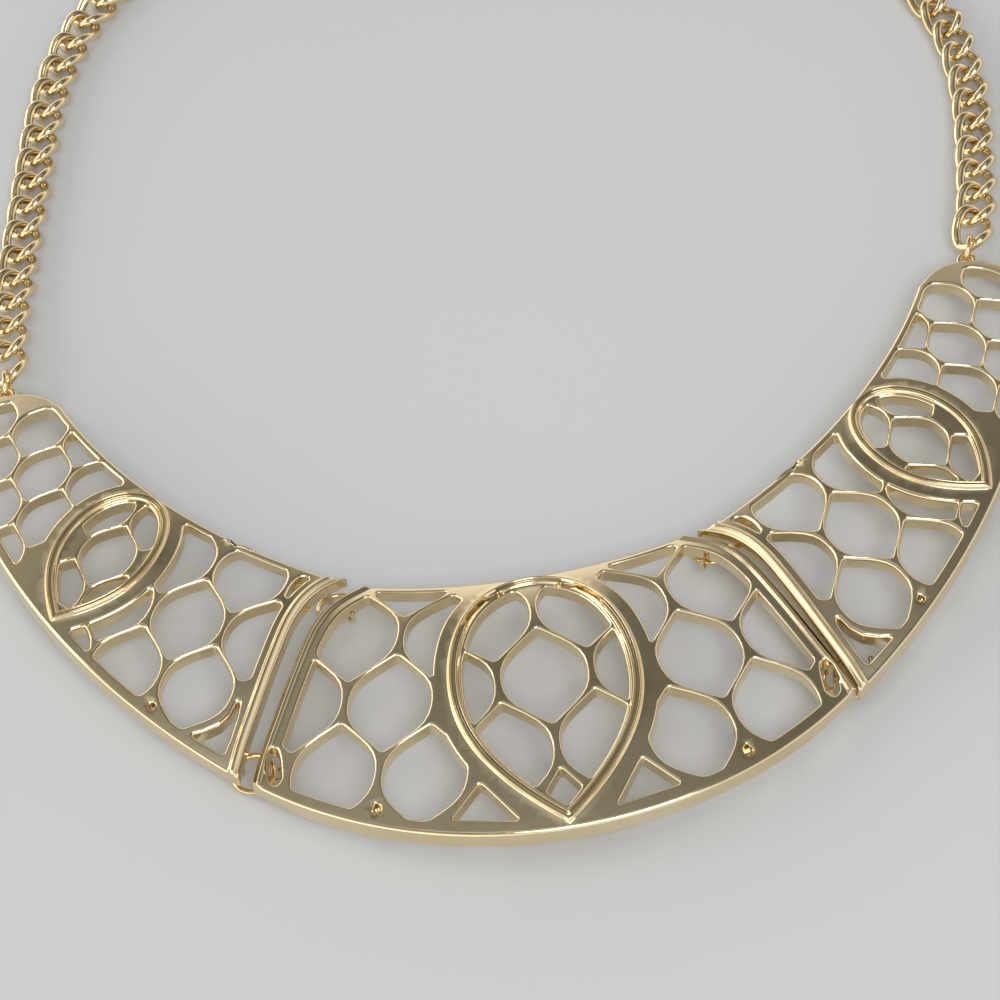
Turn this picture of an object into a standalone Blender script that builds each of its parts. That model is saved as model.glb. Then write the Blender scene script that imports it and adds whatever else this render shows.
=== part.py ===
"""Bib necklace: three pierced ogee-lattice plates hinged on jump rings, closed by a curb chain.

Metres, +Z up. The necklace lies face up on the plane z = 0, the bib toward -Y, the clasp at +Y.
Plan sizes below are in millimetres in each plate's own plan frame (p to the right, q toward the neck).
"""

import math

import bmesh
import bpy
from mathutils import Matrix, Vector, geometry

MM = 0.001

# --- driving sizes, millimetres ------------------------------------------------------------
PLATE_THICK = 2.5          # lattice metal
RIM_THICK = 3.0            # metal along the outline, away from the joints
THIN_NEAR_JOINT = 7.0      # the outline is only as thick as the lattice this close to a joint
RIM = 2.0                  # face width between a hole and the outer edge
NECK_RIM = 1.4             # face width between a hole and the neck edge
BAR = 2.9                  # face width between a hole and a joint edge
DOME_R = 245.0             # radius of the shallow dome that the face follows
ROLL_FROM = 11.0           # the face rolls down this far from the neck edge
ROLL_R = 30.0              # radius of that roll
RIDGE = 1.4                # width of the raised teardrop ridge
RIDGE_HIGH = 0.45
RIDGE_OUT = 2.1            # face between the ridge and the holes outside it
JOINT_GAP = 1.2            # between neighbouring plates
OGEE_RATIO = 1.765         # lattice row spacing / column spacing
OGEE_WIDE = 0.45           # half width of a hole / column spacing
OGEE_TALL = 0.615          # half height of a hole / column spacing
OGEE_FULL = 0.07           # how much fuller than a cosine its flanks are
SMALLEST_HOLE = 2.2        # mm2, anything less stays solid

RING_WIRE = 0.85
RING_OUT = 6.8             # joint rings
END_RING_WIRE = 0.8
END_RING_OUT = 5.2         # rings that join plate and chain
CLASP_RING_OUT = 6.8
STAPLE_WIRE = 0.7
STAPLE_PLAY = 0.22         # between a joint ring and the staple's round bottom
EYE_WIRE = 0.9             # cast eye at the chain end of a side plate
EYE_R = 1.2
EYE_OUT = 0.7

LINK_PITCH = 5.5
LINK_WIRE = 1.6
LINK_WIDTH = 6.9
LINK_PLAY = 0.5
LINK_TWIST = 1.2           # half rise of the twisted link
SHORT_HALF = 3.1           # half length of every second link where the chain is one solid
JOINED_LINKS = 7           # links in the one-solid run on each side of the clasp
CLASP_LONG = 13.0
CLASP_WIDE = 7.8
CLASP_THICK = 2.2

FRAME_SHIFT = (-1.89, -47.18, -0.09)  # brings the bottom centre of the whole loop to the origin


# --- plan geometry -------------------------------------------------------------------------
def arc3(a, b, c):
    """Centre and radius of the circle through three points."""
    ax, ay, bx, by, cx, cy = *a, *b, *c
    d = 2.0 * (ax * (by - cy) + bx * (cy - ay) + cx * (ay - by))
    ux = ((ax * ax + ay * ay) * (by - cy) + (bx * bx + by * by) * (cy - ay) + (cx * cx + cy * cy) * (ay - by)) / d
    uy = ((ax * ax + ay * ay) * (cx - bx) + (bx * bx + by * by) * (ax - cx) + (cx * cx + cy * cy) * (bx - ax)) / d
    return (ux, uy), math.hypot(ax - ux, ay - uy)


def arc_points(centre, radius, start, end, count):
    """Points on a circle from start to end, the short way round."""
    t0 = math.atan2(start[1] - centre[1], start[0] - centre[0])
    t1 = math.atan2(end[1] - centre[1], end[0] - centre[0])
    turn = (t1 - t0 + math.pi) % (2.0 * math.pi) - math.pi
    return [(centre[0] + radius * math.cos(t0 + turn * k / count),
             centre[1] + radius * math.sin(t0 + turn * k / count)) for k in range(count + 1)]


def smooth_through(knots, per_span):
    """Catmull-Rom curve through the knots."""
    out = []
    for i in range(len(knots) - 1):
        p0 = knots[max(i - 1, 0)]
        p1, p2 = knots[i], knots[i + 1]
        p3 = knots[min(i + 2, len(knots) - 1)]
        for k in range(per_span):
            t = k / per_span
            out.append(tuple(0.5 * (2 * p1[d] + (p2[d] - p0[d]) * t
                                    + (2 * p0[d] - 5 * p1[d] + 4 * p2[d] - p3[d]) * t * t
                                    + (3 * p1[d] - p0[d] - 3 * p2[d] + p3[d]) * t ** 3)
                             for d in range(len(p1))))
    out.append(tuple(knots[-1]))
    return out


def offset_line(points, distance):
    """An open line moved sideways, to its left for a positive distance."""
    out = []
    for i, p in enumerate(points):
        a, b = points[max(i - 1, 0)], points[min(i + 1, len(points) - 1)]
        length = math.hypot(b[0] - a[0], b[1] - a[1])
        out.append((p[0] - (b[1] - a[1]) / length * distance, p[1] + (b[0] - a[0]) / length * distance))
    return out


def segment_gap(p, a, b):
    dx, dy = b[0] - a[0], b[1] - a[1]
    t = max(0.0, min(1.0, ((p[0] - a[0]) * dx + (p[1] - a[1]) * dy) / (dx * dx + dy * dy)))
    return math.hypot(p[0] - a[0] - t * dx, p[1] - a[1] - t * dy)


def within(p, ring):
    hit = False
    for i in range(len(ring)):
        a, b = ring[i - 1], ring[i]
        if (a[1] > p[1]) != (b[1] > p[1]) and p[0] < a[0] + (p[1] - a[1]) / (b[1] - a[1]) * (b[0] - a[0]):
            hit = not hit
    return hit


def depth_in(p, ring):
    """Signed distance to a closed ring, positive inside."""
    gap = min(segment_gap(p, ring[i - 1], ring[i]) for i in range(len(ring)))
    return gap if within(p, ring) else -gap


def line_gap(p, line):
    return min(segment_gap(p, line[i], line[i + 1]) for i in range(len(line) - 1))


def area(ring):
    return 0.5 * sum(ring[i - 1][0] * ring[i][1] - ring[i][0] * ring[i - 1][1] for i in range(len(ring)))


def clip(ring, side, step):
    """The part of a closed ring where side(p) > 0, closed along side(p) = 0."""
    if not ring:
        return []
    value = [side(p) for p in ring]
    if min(value) >= 0.0:
        return ring
    if max(value) <= 0.0:
        return []

    def crossing(a, b, fa, fb):
        for _ in range(4):
            t = fa / (fa - fb)
            m = (a[0] + (b[0] - a[0]) * t, a[1] + (b[1] - a[1]) * t)
            fm = side(m)
            if (fm >= 0.0) == (fa >= 0.0):
                a, fa = m, fm
            else:
                b, fb = m, fm
            if abs(fa - fb) < 1e-9:
                break
        return m

    def settle(p):
        for _ in range(4):
            f = side(p)
            gx = (side((p[0] + 0.01, p[1])) - f) / 0.01
            gy = (side((p[0], p[1] + 0.01)) - f) / 0.01
            g2 = max(gx * gx + gy * gy, 0.1)
            p = (p[0] - f * gx / g2, p[1] - f * gy / g2)
        return p

    count = len(ring)
    start = next(i for i in range(count) if value[i] < 0.0 <= value[(i + 1) % count])
    out = []
    leaving = None
    for k in range(count):
        i, j = (start + k) % count, (start + k + 1) % count
        a, b, fa, fb = ring[i], ring[j], value[i], value[j]
        if fa < 0.0 <= fb:
            entering = crossing(a, b, fa, fb)
            if leaving is not None:
                out += border(leaving, entering, settle, step)
            out.append(entering)
        if fb >= 0.0:
            out.append(b)
        if fa >= 0.0 > fb:
            leaving = crossing(a, b, fa, fb)
            out.append(leaving)
    return out + border(leaving, out[0], settle, step)


def border(a, b, settle, step):
    count = int(math.hypot(b[0] - a[0], b[1] - a[1]) / step)
    return [settle((a[0] + (b[0] - a[0]) * k / (count + 1), a[1] + (b[1] - a[1]) * k / (count + 1)))
            for k in range(1, count + 1)]


def tidy(ring, least):
    """Drops points that crowd their neighbour."""
    out = []
    for p in ring:
        if not out or math.hypot(p[0] - out[-1][0], p[1] - out[-1][1]) > least:
            out.append(p)
    while len(out) > 2 and math.hypot(out[0][0] - out[-1][0], out[0][1] - out[-1][1]) < least:
        out.pop()
    return out


def ogee(centre, pitch, turn, column, row, per_side):
    """One pointed lattice hole, both flanks following the same swelling curve."""
    tall, wide = OGEE_TALL * pitch, OGEE_WIDE * pitch
    cx, cy = column * pitch / 2.0, row * pitch * OGEE_RATIO / 2.0
    cs, sn = math.cos(math.radians(turn)), math.sin(math.radians(turn))
    out = []
    for k in range(2 * per_side):
        t = 1.0 - 2.0 * (k if k <= per_side else 2 * per_side - k) / per_side
        w = wide * (math.cos(math.pi * t / 2.0) + OGEE_FULL * math.sin(math.pi * t) ** 2)
        x, y = cx + (-w if k <= per_side else w), cy + tall * t
        out.append((centre[0] + x * cs - y * sn, centre[1] + x * sn + y * cs))
    return out


def teardrop(tip, turn, length, half, inset, count):
    """Pointed arch below, half ellipse above; inset moves it inward."""
    low = length * 0.553
    high = length - low
    base = []
    for k in range(count):
        u = 4.0 * k / count
        if u <= 1.0 or u > 3.0:
            s = (1.0 - u) if u <= 1.0 else (u - 3.0)
            y, x = low * (1.0 - s), half * (1.0 - s ** 2.1)
            x = x if u <= 1.0 else -x
        else:
            t = math.pi * (u - 1.0) / 2.0
            y, x = low + high * math.sin(t), half * math.cos(t)
        base.append((x, y))
    ring = []
    for k, (x, y) in enumerate(base):
        a, b = base[k - 1], base[(k + 1) % count]
        size = math.hypot(b[0] - a[0], b[1] - a[1])
        if k == 0:
            ring.append((0.0, inset * 1.33))
        else:
            ring.append((x - (b[1] - a[1]) / size * inset, y + (b[0] - a[0]) / size * inset))
    # the base point k = 0 is the widest bottom tip
    cs, sn = math.cos(math.radians(turn)), math.sin(math.radians(turn))
    return [(tip[0] + x * cs - y * sn, tip[1] + x * sn + y * cs) for x, y in ring]


# --- the plates ----------------------------------------------------------------------------
# knots of the joint edge of the centre plate, right half, from the outer edge to the neck edge
JOINT_KNOTS = [(43.7, -14.4), (42.1, -10.0), (39.9, -5.0), (36.3, 3.0), (32.8, 10.0), (29.2, 14.4), (24.5, 17.3)]
CENTRE_NECK = ((0.0, 84.7), 71.7)
CENTRE_RIM = ((0.0, 32.6), 64.2)

# side plate, right-hand form
SIDE_FROM_CENTRE = (-58.6, -5.4)      # centre plate plan to side plate plan at the joint
SIDE_NECK = ((-68.3, 86.0), 82.6)
SIDE_RIM = arc3((-12.4, -18.2), (5.0, 0.4), (24.5, 44.0))
SIDE_END = ((8.8, 55.2), (16.8, 59.2), (25.4, 51.6))

# lattice fields: centre of the field's first hole, column spacing, turn from the q axis
FIELD_WING = dict(centre=(22.54, -6.15), pitch=13.29, turn=14.7)
FIELD_MEDAL = dict(centre=(0.0, -6.3), pitch=13.55, turn=0.0)
FIELD_NEAR = dict(centre=(-9.0, 7.7), pitch=11.53, turn=28.1)
FIELD_FAR = dict(centre=(11.35, 40.4), pitch=9.11, turn=28.8)
FIELD_SMALL = dict(centre=(2.1, 21.7), pitch=9.2, turn=32.0)
TEAR_CENTRE = dict(tip=(0.0, -31.0), turn=0.0, length=43.6, half=14.1)
TEAR_SIDE = dict(tip=(11.2, 11.3), turn=39.0, length=26.3, half=8.2)
RIDGE_IN = {"centre": 0.9, "side": 0.6}   # face between the ridge and the holes inside it
# slots beside the outer joint rings
EYE_SLOT = [(40.1, -9.1), (41.0, -10.4), (41.3, -12.6), (41.2, -14.6), (40.2, -15.6), (39.3, -14.6), (39.2, -11.6), (39.4, -9.7)]
# openings at the foot of the centre teardrop, where the lattice is squeezed against the rim
FOOT_OPENINGS = [[(11.5, -22.2), (16.2, -27.0), (6.9, -29.0)], [(-11.5, -22.2), (-6.9, -29.0), (-16.2, -27.0)],
                 [(0.0, -21.9), (2.5, -25.4), (0.0, -27.9), (-2.5, -25.4)]]


def centre_face(p, q):
    roll = max(0.0, ROLL_FROM - (math.hypot(p - CENTRE_NECK[0][0], q - CENTRE_NECK[0][1]) - CENTRE_NECK[1]))
    return -(p * p + (q + 2.0) ** 2) / (2.0 * DOME_R) - roll * roll / (2.0 * ROLL_R)


def side_face(p, q):
    roll = max(0.0, ROLL_FROM - (math.hypot(p - SIDE_NECK[0][0], q - SIDE_NECK[0][1]) - SIDE_NECK[1]))
    roll *= max(0.55, 1.0 - 0.009 * max(0.0, q))
    return -((p + 12.0) ** 2 + (q - 25.0) ** 2) / (2.0 * DOME_R) - roll * roll / (2.0 * ROLL_R)


def centre_outline(step):
    joint = smooth_through(JOINT_KNOTS, max(2, int(6.0 / step)))
    rim = arc_points(*CENTRE_RIM, (-43.7, -14.4), (43.7, -14.4), int(96.0 / step))
    neck = arc_points(*CENTRE_NECK, (24.5, 17.3), (-24.5, 17.3), int(50.0 / step))
    return tidy(rim + joint[1:] + neck[1:] + [(-p, q) for p, q in reversed(joint)][1:-1], 0.3)


def side_joint(step):
    line = smooth_through(JOINT_KNOTS, max(2, int(6.0 / step)))
    moved = offset_line(line, -JOINT_GAP)
    return [(p + SIDE_FROM_CENTRE[0], q + SIDE_FROM_CENTRE[1]) for p, q in moved]


def on_circle(centre, radius, towards):
    d = math.hypot(towards[0] - centre[0], towards[1] - centre[1])
    return (centre[0] + (towards[0] - centre[0]) / d * radius, centre[1] + (towards[1] - centre[1]) / d * radius)


def side_outline(step):
    joint = side_joint(step)
    joint[0] = on_circle(*SIDE_RIM, joint[0])
    tip = on_circle(*SIDE_NECK, (joint[-1][0] - 2.6, joint[-1][1]))
    end_c, end_r = arc3(*SIDE_END)
    low, high = on_circle(*SIDE_RIM, SIDE_END[2]), on_circle(*SIDE_NECK, SIDE_END[0])
    rim = arc_points(*SIDE_RIM, joint[0], low, int(76.0 / step))
    end = arc_points(end_c, end_r, low, high, int(26.0 / step))
    beside = [(p + SIDE_FROM_CENTRE[0], q + SIDE_FROM_CENTRE[1]) for p, q in centre_outline(2.0)]
    neck = [p for p in arc_points(*SIDE_NECK, high, tip, int(66.0 / step)) if depth_in(p, beside) < -JOINT_GAP]
    joint = [p for p in joint[:-1] if depth_in(p, beside) < 0.6 - JOINT_GAP]
    return tidy(rim + end[1:] + neck[1:] + list(reversed(joint))[:-1], 0.3)


def hole_list(outline, joint_line, neck, fields, tear, ridge_in, sides, step):
    """Every lattice cell clipped by the edges and by the teardrop ring."""
    ring = teardrop(**tear, inset=0.0, count=56)
    holes = []

    def edge_side(p):
        near_neck = math.hypot(p[0] - neck[0][0], p[1] - neck[0][1]) - neck[1] < 4.0
        return depth_in(p, outline) - (NECK_RIM if near_neck else RIM)

    for field, cells, inner in fields:
        per_side = sides if field["pitch"] > 11.0 else sides - 1
        for column, row, keep in cells:
            cell = ogee(field["centre"], field["pitch"], field["turn"], column, row, per_side)
            cell = clip(cell, lambda p: math.hypot(p[0] - neck[0][0], p[1] - neck[0][1]) - neck[1] - NECK_RIM, step)
            cell = clip(cell, edge_side, step)
            cell = clip(cell, lambda p: joint_line(p) - BAR, step)
            if inner:
                cell = clip(cell, lambda p: depth_in(p, ring) - RIDGE - ridge_in, step)
            else:
                cell = clip(cell, lambda p: -depth_in(p, ring) - RIDGE_OUT, step)
            if keep is not None:
                cell = clip(cell, keep, step)
            cell = tidy(cell, 0.35)
            if len(cell) > 2 and abs(area(cell)) > SMALLEST_HOLE:
                holes.append(cell)
    return holes


CELLS_WING = [(0, 0), (2, 0), (1, -1), (-1, -1), (1, 1), (-1, 1), (0, 2)]
CELLS_MEDAL = [(0, 0), (-1, 1), (1, 1), (-2, 0), (2, 0), (-1, -1), (1, -1)]
CELLS_SMALL = [(0, 0), (-1, 1), (1, 1), (-1, -1), (1, -1)]
CELLS_NEAR = [(0, 0), (-1, -1), (1, -1), (-2, 0), (-1, 1), (1, 1), (0, 2), (-2, 2), (2, 0), (-3, 1),
              (2, -2), (3, -1), (2, 2)]
# three-sided opening in the side plate's outer corner at the seam, plan millimetres
CORNER_OPENING = [(-12.1, -15.3), (-7.9, -11.5), (-9.6, -11.4), (-12.0, -10.7), (-13.8, -9.3), (-15.1, -7.2),
                  (-15.3, -7.6), (-14.6, -9.9), (-13.4, -12.8)]
CELLS_FAR = [(0, 0), (-1, -1), (1, -1), (2, 0), (1, 1), (-2, 0), (-1, 1), (3, 1), (0, 2), (3, -1), (0, -2), (2, -2)]


def centre_holes(outline, step, sides):
    line = smooth_through(JOINT_KNOTS, 3)
    both = [line, [(-p, q) for p, q in line]]

    def joint_line(p):
        side = both[0] if p[0] > 0.0 else both[1]
        return line_gap(p, side) * (1.0 if within(p, outline) else -1.0)

    wing = [(c, r, None) for c, r in CELLS_WING]
    medal = dict(FIELD_MEDAL)
    right = hole_list(outline, joint_line, CENTRE_NECK, [(FIELD_WING, wing, False)], TEAR_CENTRE,
                      RIDGE_IN["centre"], sides, step)
    left = [[(-p, q) for p, q in reversed(hole)] for hole in right]
    middle = hole_list(outline, joint_line, CENTRE_NECK, [(medal, [(c, r, None) for c, r in CELLS_MEDAL], True)],
                       TEAR_CENTRE, RIDGE_IN["centre"], sides, step)
    slots = [EYE_SLOT, [(-p, q) for p, q in EYE_SLOT]]
    return right + left + middle + FOOT_OPENINGS + slots


def side_holes(outline, step, sides):
    joint = side_joint(2.0)

    def joint_line(p):
        return line_gap(p, joint) * (1.0 if within(p, outline) else -1.0)

    axis = math.radians(TEAR_SIDE["turn"])
    tip = TEAR_SIDE["tip"]
    normal = (math.cos(axis), math.sin(axis))

    def beyond(p):
        return (p[0] - tip[0]) * normal[0] + (p[1] - tip[1]) * normal[1]

    fields = [
        (FIELD_NEAR, [(c, r, lambda p: -beyond(p) - 0.8) for c, r in CELLS_NEAR], False),
        (FIELD_FAR, [(c, r, lambda p: beyond(p) - 0.8) for c, r in CELLS_FAR], False),
        (FIELD_SMALL, [(c, r, None) for c, r in CELLS_SMALL], True),
    ]
    return hole_list(outline, joint_line, SIDE_NECK, fields, TEAR_SIDE, RIDGE_IN["side"], sides, step) + [CORNER_OPENING]


def plate_mesh(name, outline, holes, tear, face, joints):
    """Triangulates the pierced plan once, lifts it to the face and the back, and closes the walls."""
    points, extra, edges, loops = [], [], [], []

    def add_loop(ring, rise, is_edge):
        first = len(points)
        points.extend(Vector(p) for p in ring)
        extra.extend([rise] * len(ring))
        edges.extend((first + k, first + (k + 1) % len(ring)) for k in range(len(ring)))
        if is_edge:
            loops.append(range(first, first + len(ring)))

    outline = outline if area(outline) > 0.0 else list(reversed(outline))
    add_loop(outline, 0.0, True)
    for hole in holes:
        add_loop(hole if area(hole) < 0.0 else list(reversed(hole)), 0.0, True)
    for inset, rise in ((0.0, 0.0), (RIDGE / 2.0, RIDGE_HIGH), (RIDGE, 0.0)):
        add_loop(teardrop(**tear, inset=inset, count=32), rise, False)
    verts, _, faces, origin, _, _ = geometry.delaunay_2d_cdt(points, edges, [], 0, 1e-5)
    lift = [extra[ids[0]] if ids else 0.0 for ids in origin]
    new_of = {}
    for k, ids in enumerate(origin):
        for i in ids:
            new_of[i] = k
    edge_ids = {new_of[i] for i in loops[0] if min(line_gap(points[i], line) for line in joints) > THIN_NEAR_JOINT}
    bm = bmesh.new()
    top, back = [], []
    for k, v in enumerate(verts):
        z = face(v.x, v.y)
        top.append(bm.verts.new((v.x, v.y, z + lift[k])))
        back.append(bm.verts.new((v.x, v.y, z - (RIM_THICK if k in edge_ids else PLATE_THICK))))
    for tri in faces:
        cx = sum(verts[i].x for i in tri) / 3.0
        cy = sum(verts[i].y for i in tri) / 3.0
        if not within((cx, cy), outline) or any(within((cx, cy), hole) for hole in holes):
            continue
        a, b, c = (verts[i] for i in tri)
        if (b.x - a.x) * (c.y - a.y) - (b.y - a.y) * (c.x - a.x) < 0.0:
            tri = tuple(reversed(tri))
        bm.faces.new([top[i] for i in tri])
        bm.faces.new([back[i] for i in reversed(tri)])
    for loop in loops:
        ids = [new_of[i] for i in loop]
        for k in range(len(ids)):
            a, b = ids[k - 1], ids[k]
            if a != b:
                bm.faces.new((top[a], back[a], back[b], top[b]))
    loose = [v for v in bm.verts if not v.link_faces]
    bmesh.ops.delete(bm, geom=loose, context="VERTS")
    bmesh.ops.triangulate(bm, faces=[f for f in bm.faces if len(f.verts) > 3])
    bmesh.ops.recalc_face_normals(bm, faces=bm.faces)
    mesh = bpy.data.meshes.new(name)
    bm.to_mesh(mesh)
    bm.free()
    return mesh


# --- wires ---------------------------------------------------------------------------------
def tube_mesh(name, path, radius, sides, closed, flat=1.0):
    """A wire of round section swept along a path of vectors."""
    bm = bmesh.new()
    count = len(path)
    rows = []
    side = None
    for k in range(count):
        before = path[k - 1] if closed or k > 0 else path[k]
        after = path[(k + 1) % count] if closed or k < count - 1 else path[k]
        along = (after - before).normalized()
        if side is None:
            side = Vector((0.0, 0.0, 1.0)).cross(along)
            if side.length < 0.2:
                side = Vector((1.0, 0.0, 0.0)).cross(along)
        side = (side - along * side.dot(along)).normalized()
        up = along.cross(side)
        rows.append([bm.verts.new(path[k] + (side * math.cos(a) + up * math.sin(a) * flat) * radius)
                     for a in (2.0 * math.pi * (j + 0.5) / sides for j in range(sides))])
    for k in range(count if closed else count - 1):
        a, b = rows[k], rows[(k + 1) % count]
        shift = 0
        if closed and k == count - 1:
            shift = min(range(sides), key=lambda s: (a[0].co - b[s].co).length)
        for j in range(sides):
            bm.faces.new((a[j], a[(j + 1) % sides], b[(j + 1 + shift) % sides], b[(j + shift) % sides]))
    if not closed:
        bm.faces.new(list(reversed(rows[0])))
        bm.faces.new(rows[-1])
    bmesh.ops.triangulate(bm, faces=bm.faces)
    bmesh.ops.recalc_face_normals(bm, faces=bm.faces)
    mesh = bpy.data.meshes.new(name)
    bm.to_mesh(mesh)
    bm.free()
    return mesh


def staple_path(reach, drop, around):
    """A U hanging below the back of a plate: legs down, round bottom at the given depth."""
    deep = min(reach, 1.1, drop - 0.2)
    leg = drop - deep
    arch = [Vector((reach * math.cos(a), 0.0, -leg - deep * math.sin(a)))
            for a in (math.pi * k / around for k in range(around + 1))]
    return [Vector((reach, 0.0, 0.9))] + arch + [Vector((-reach, 0.0, 0.9))]


def ring_path(outer, wire, around):
    r = (outer - wire) / 2.0
    return [Vector((r * math.cos(a), r * math.sin(a), 0.0))
            for a in (2.0 * math.pi * k / around for k in range(around))]


def link_path(around, twist, long_half):
    wide_half = (LINK_WIDTH - LINK_WIRE) / 2.0
    return [Vector((long_half * math.cos(a), wide_half * math.sin(a), twist * math.sin(2.0 * a)))
            for a in (2.0 * math.pi * k / around for k in range(around))]


# --- putting it together -------------------------------------------------------------------
def material(name, colour, rough):
    mat = bpy.data.materials.new(name)
    mat.use_nodes = True
    shader = mat.node_tree.nodes["Principled BSDF"]
    shader.inputs["Base Color"].default_value = (*colour, 1.0)
    shader.inputs["Metallic"].default_value = 1.0
    shader.inputs["Roughness"].default_value = rough
    return mat


def placed(name, mesh, matrix, mat, smooth):
    ob = bpy.data.objects.new(name, mesh)
    bpy.context.scene.collection.objects.link(ob)
    ob.matrix_world = matrix
    mesh.materials.clear()
    mesh.materials.append(mat)
    if smooth:
        mesh.shade_smooth()
        mesh.set_sharp_from_angle(angle=math.radians(40.0))
    return ob


def to_metres(matrix):
    """A placement in millimetres turned into metres, with the frame shift."""
    return Matrix.Scale(MM, 4) @ Matrix.Translation(Vector(FRAME_SHIFT)) @ matrix


# plate placement in the plane, millimetres and degrees; rise is the height of the dome's top
PLACE = {
    "centre_plate": dict(at=(1.86, -30.69), yaw=1.77, rise=9.27, mirror=False),
    "right_plate": dict(at=(60.25, -24.95), yaw=0.0, rise=8.9, mirror=False),
    "left_plate": dict(at=(-57.6, -26.05), yaw=1.52, rise=9.05, mirror=True),
}
FACE = {"centre_plate": centre_face, "right_plate": side_face, "left_plate": side_face}

# joint rings: where the ring crosses the joint edge (0 outer end, 1 neck end), how far its middle
# lies toward the centre plate, and the inner radius of its staples
JOINT_RINGS = {"outer": dict(share=0.10, lean=0.0, reach=1.4), "neck": dict(share=0.90, lean=0.1, reach=0.9)}
LYING_GAP = {"right": 0.6, "left": 2.25}   # gap at each joint as the necklace lies

# chain path, millimetres, from each plate's eye to the clasp at the back
CHAIN_RIGHT = [(80.8, 46.1), (82.4, 54.4), (83.8, 62.9), (84.8, 71.0), (85.1, 78.5), (84.6, 86.0), (83.0, 93.1),
               (77.5, 107.0), (67.0, 122.0), (50.0, 136.5), (28.0, 149.3), (13.0, 152.8)]
CHAIN_LEFT = [(-75.4, 50.0), (-74.2, 62.0), (-72.8, 71.8), (-71.2, 83.3), (-69.3, 95.4), (-67.0, 105.0), (-63.9, 113.3),
              (-59.3, 121.3), (-50.0, 132.0), (-37.0, 142.0), (-25.0, 149.8), (-13.0, 152.8)]
CLASP_AT = (0.0, 152.8)
CHAIN_REST = 2.1           # height of the chain's axis where it lies
CHAIN_RAISED = 3.1         # and where it meets a clasp ring
CHAIN_FALL = 26.0          # length over which it comes down


def plate_matrix(key):
    place = PLACE[key]
    return (Matrix.Translation(Vector((*place["at"], place["rise"])))
            @ Matrix.Rotation(math.radians(place["yaw"]), 4, "Z"))


def to_plate(key, point):
    """Plan coordinates of a point in the plane, in the plate's own right-hand form."""
    local = plate_matrix(key).inverted() @ Vector((point[0], point[1], 0.0))
    return (-local.x if PLACE[key]["mirror"] else local.x, local.y)


def from_plate(key, p, q):
    out = plate_matrix(key) @ Vector((-p if PLACE[key]["mirror"] else p, q, 0.0))
    return (out.x, out.y)


def face_height(key, point):
    return PLACE[key]["rise"] + FACE[key](*to_plate(key, point))


def steps_along(path, spacing, count, start):
    """Points and directions at equal steps along a polyline."""
    out = []
    for k in range(count):
        want = start + spacing * k
        for i in range(len(path) - 1):
            size = math.hypot(path[i + 1][0] - path[i][0], path[i + 1][1] - path[i][1])
            if want <= size or i == len(path) - 2:
                dx, dy = (path[i + 1][0] - path[i][0]) / size, (path[i + 1][1] - path[i][1]) / size
                out.append(((path[i][0] + dx * want, path[i][1] + dy * want), (dx, dy)))
                break
            want -= size
    return out


def length_of(path):
    return sum(math.hypot(b[0] - a[0], b[1] - a[1]) for a, b in zip(path, path[1:]))


def heading(direction, at, pitch_up=0.0, roll=0.0):
    """Placement whose X axis follows a direction in the plane."""
    return (Matrix.Translation(Vector(at)) @ Matrix.Rotation(math.atan2(direction[1], direction[0]), 4, "Z")
            @ Matrix.Rotation(-pitch_up, 4, "Y") @ Matrix.Rotation(roll, 4, "X"))


def settling(distance, rise):
    """Height above rest and slope of the chain this far from a raised end."""
    t = min(1.0, distance / CHAIN_FALL)
    return rise * (1.0 - t) ** 2 * (1.0 + 2.0 * t), -6.0 * rise * t * (1.0 - t) / CHAIN_FALL


def fuse(target, extras):
    """Unites solids into a plate; the extras stay as hidden guides."""
    for extra in extras:
        extra.hide_render = True
        extra.display_type = "WIRE"
        mod = target.modifiers.new("unite_" + extra.name, "BOOLEAN")
        mod.operation = "UNION"
        mod.solver = "EXACT"
        mod.object = extra


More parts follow.
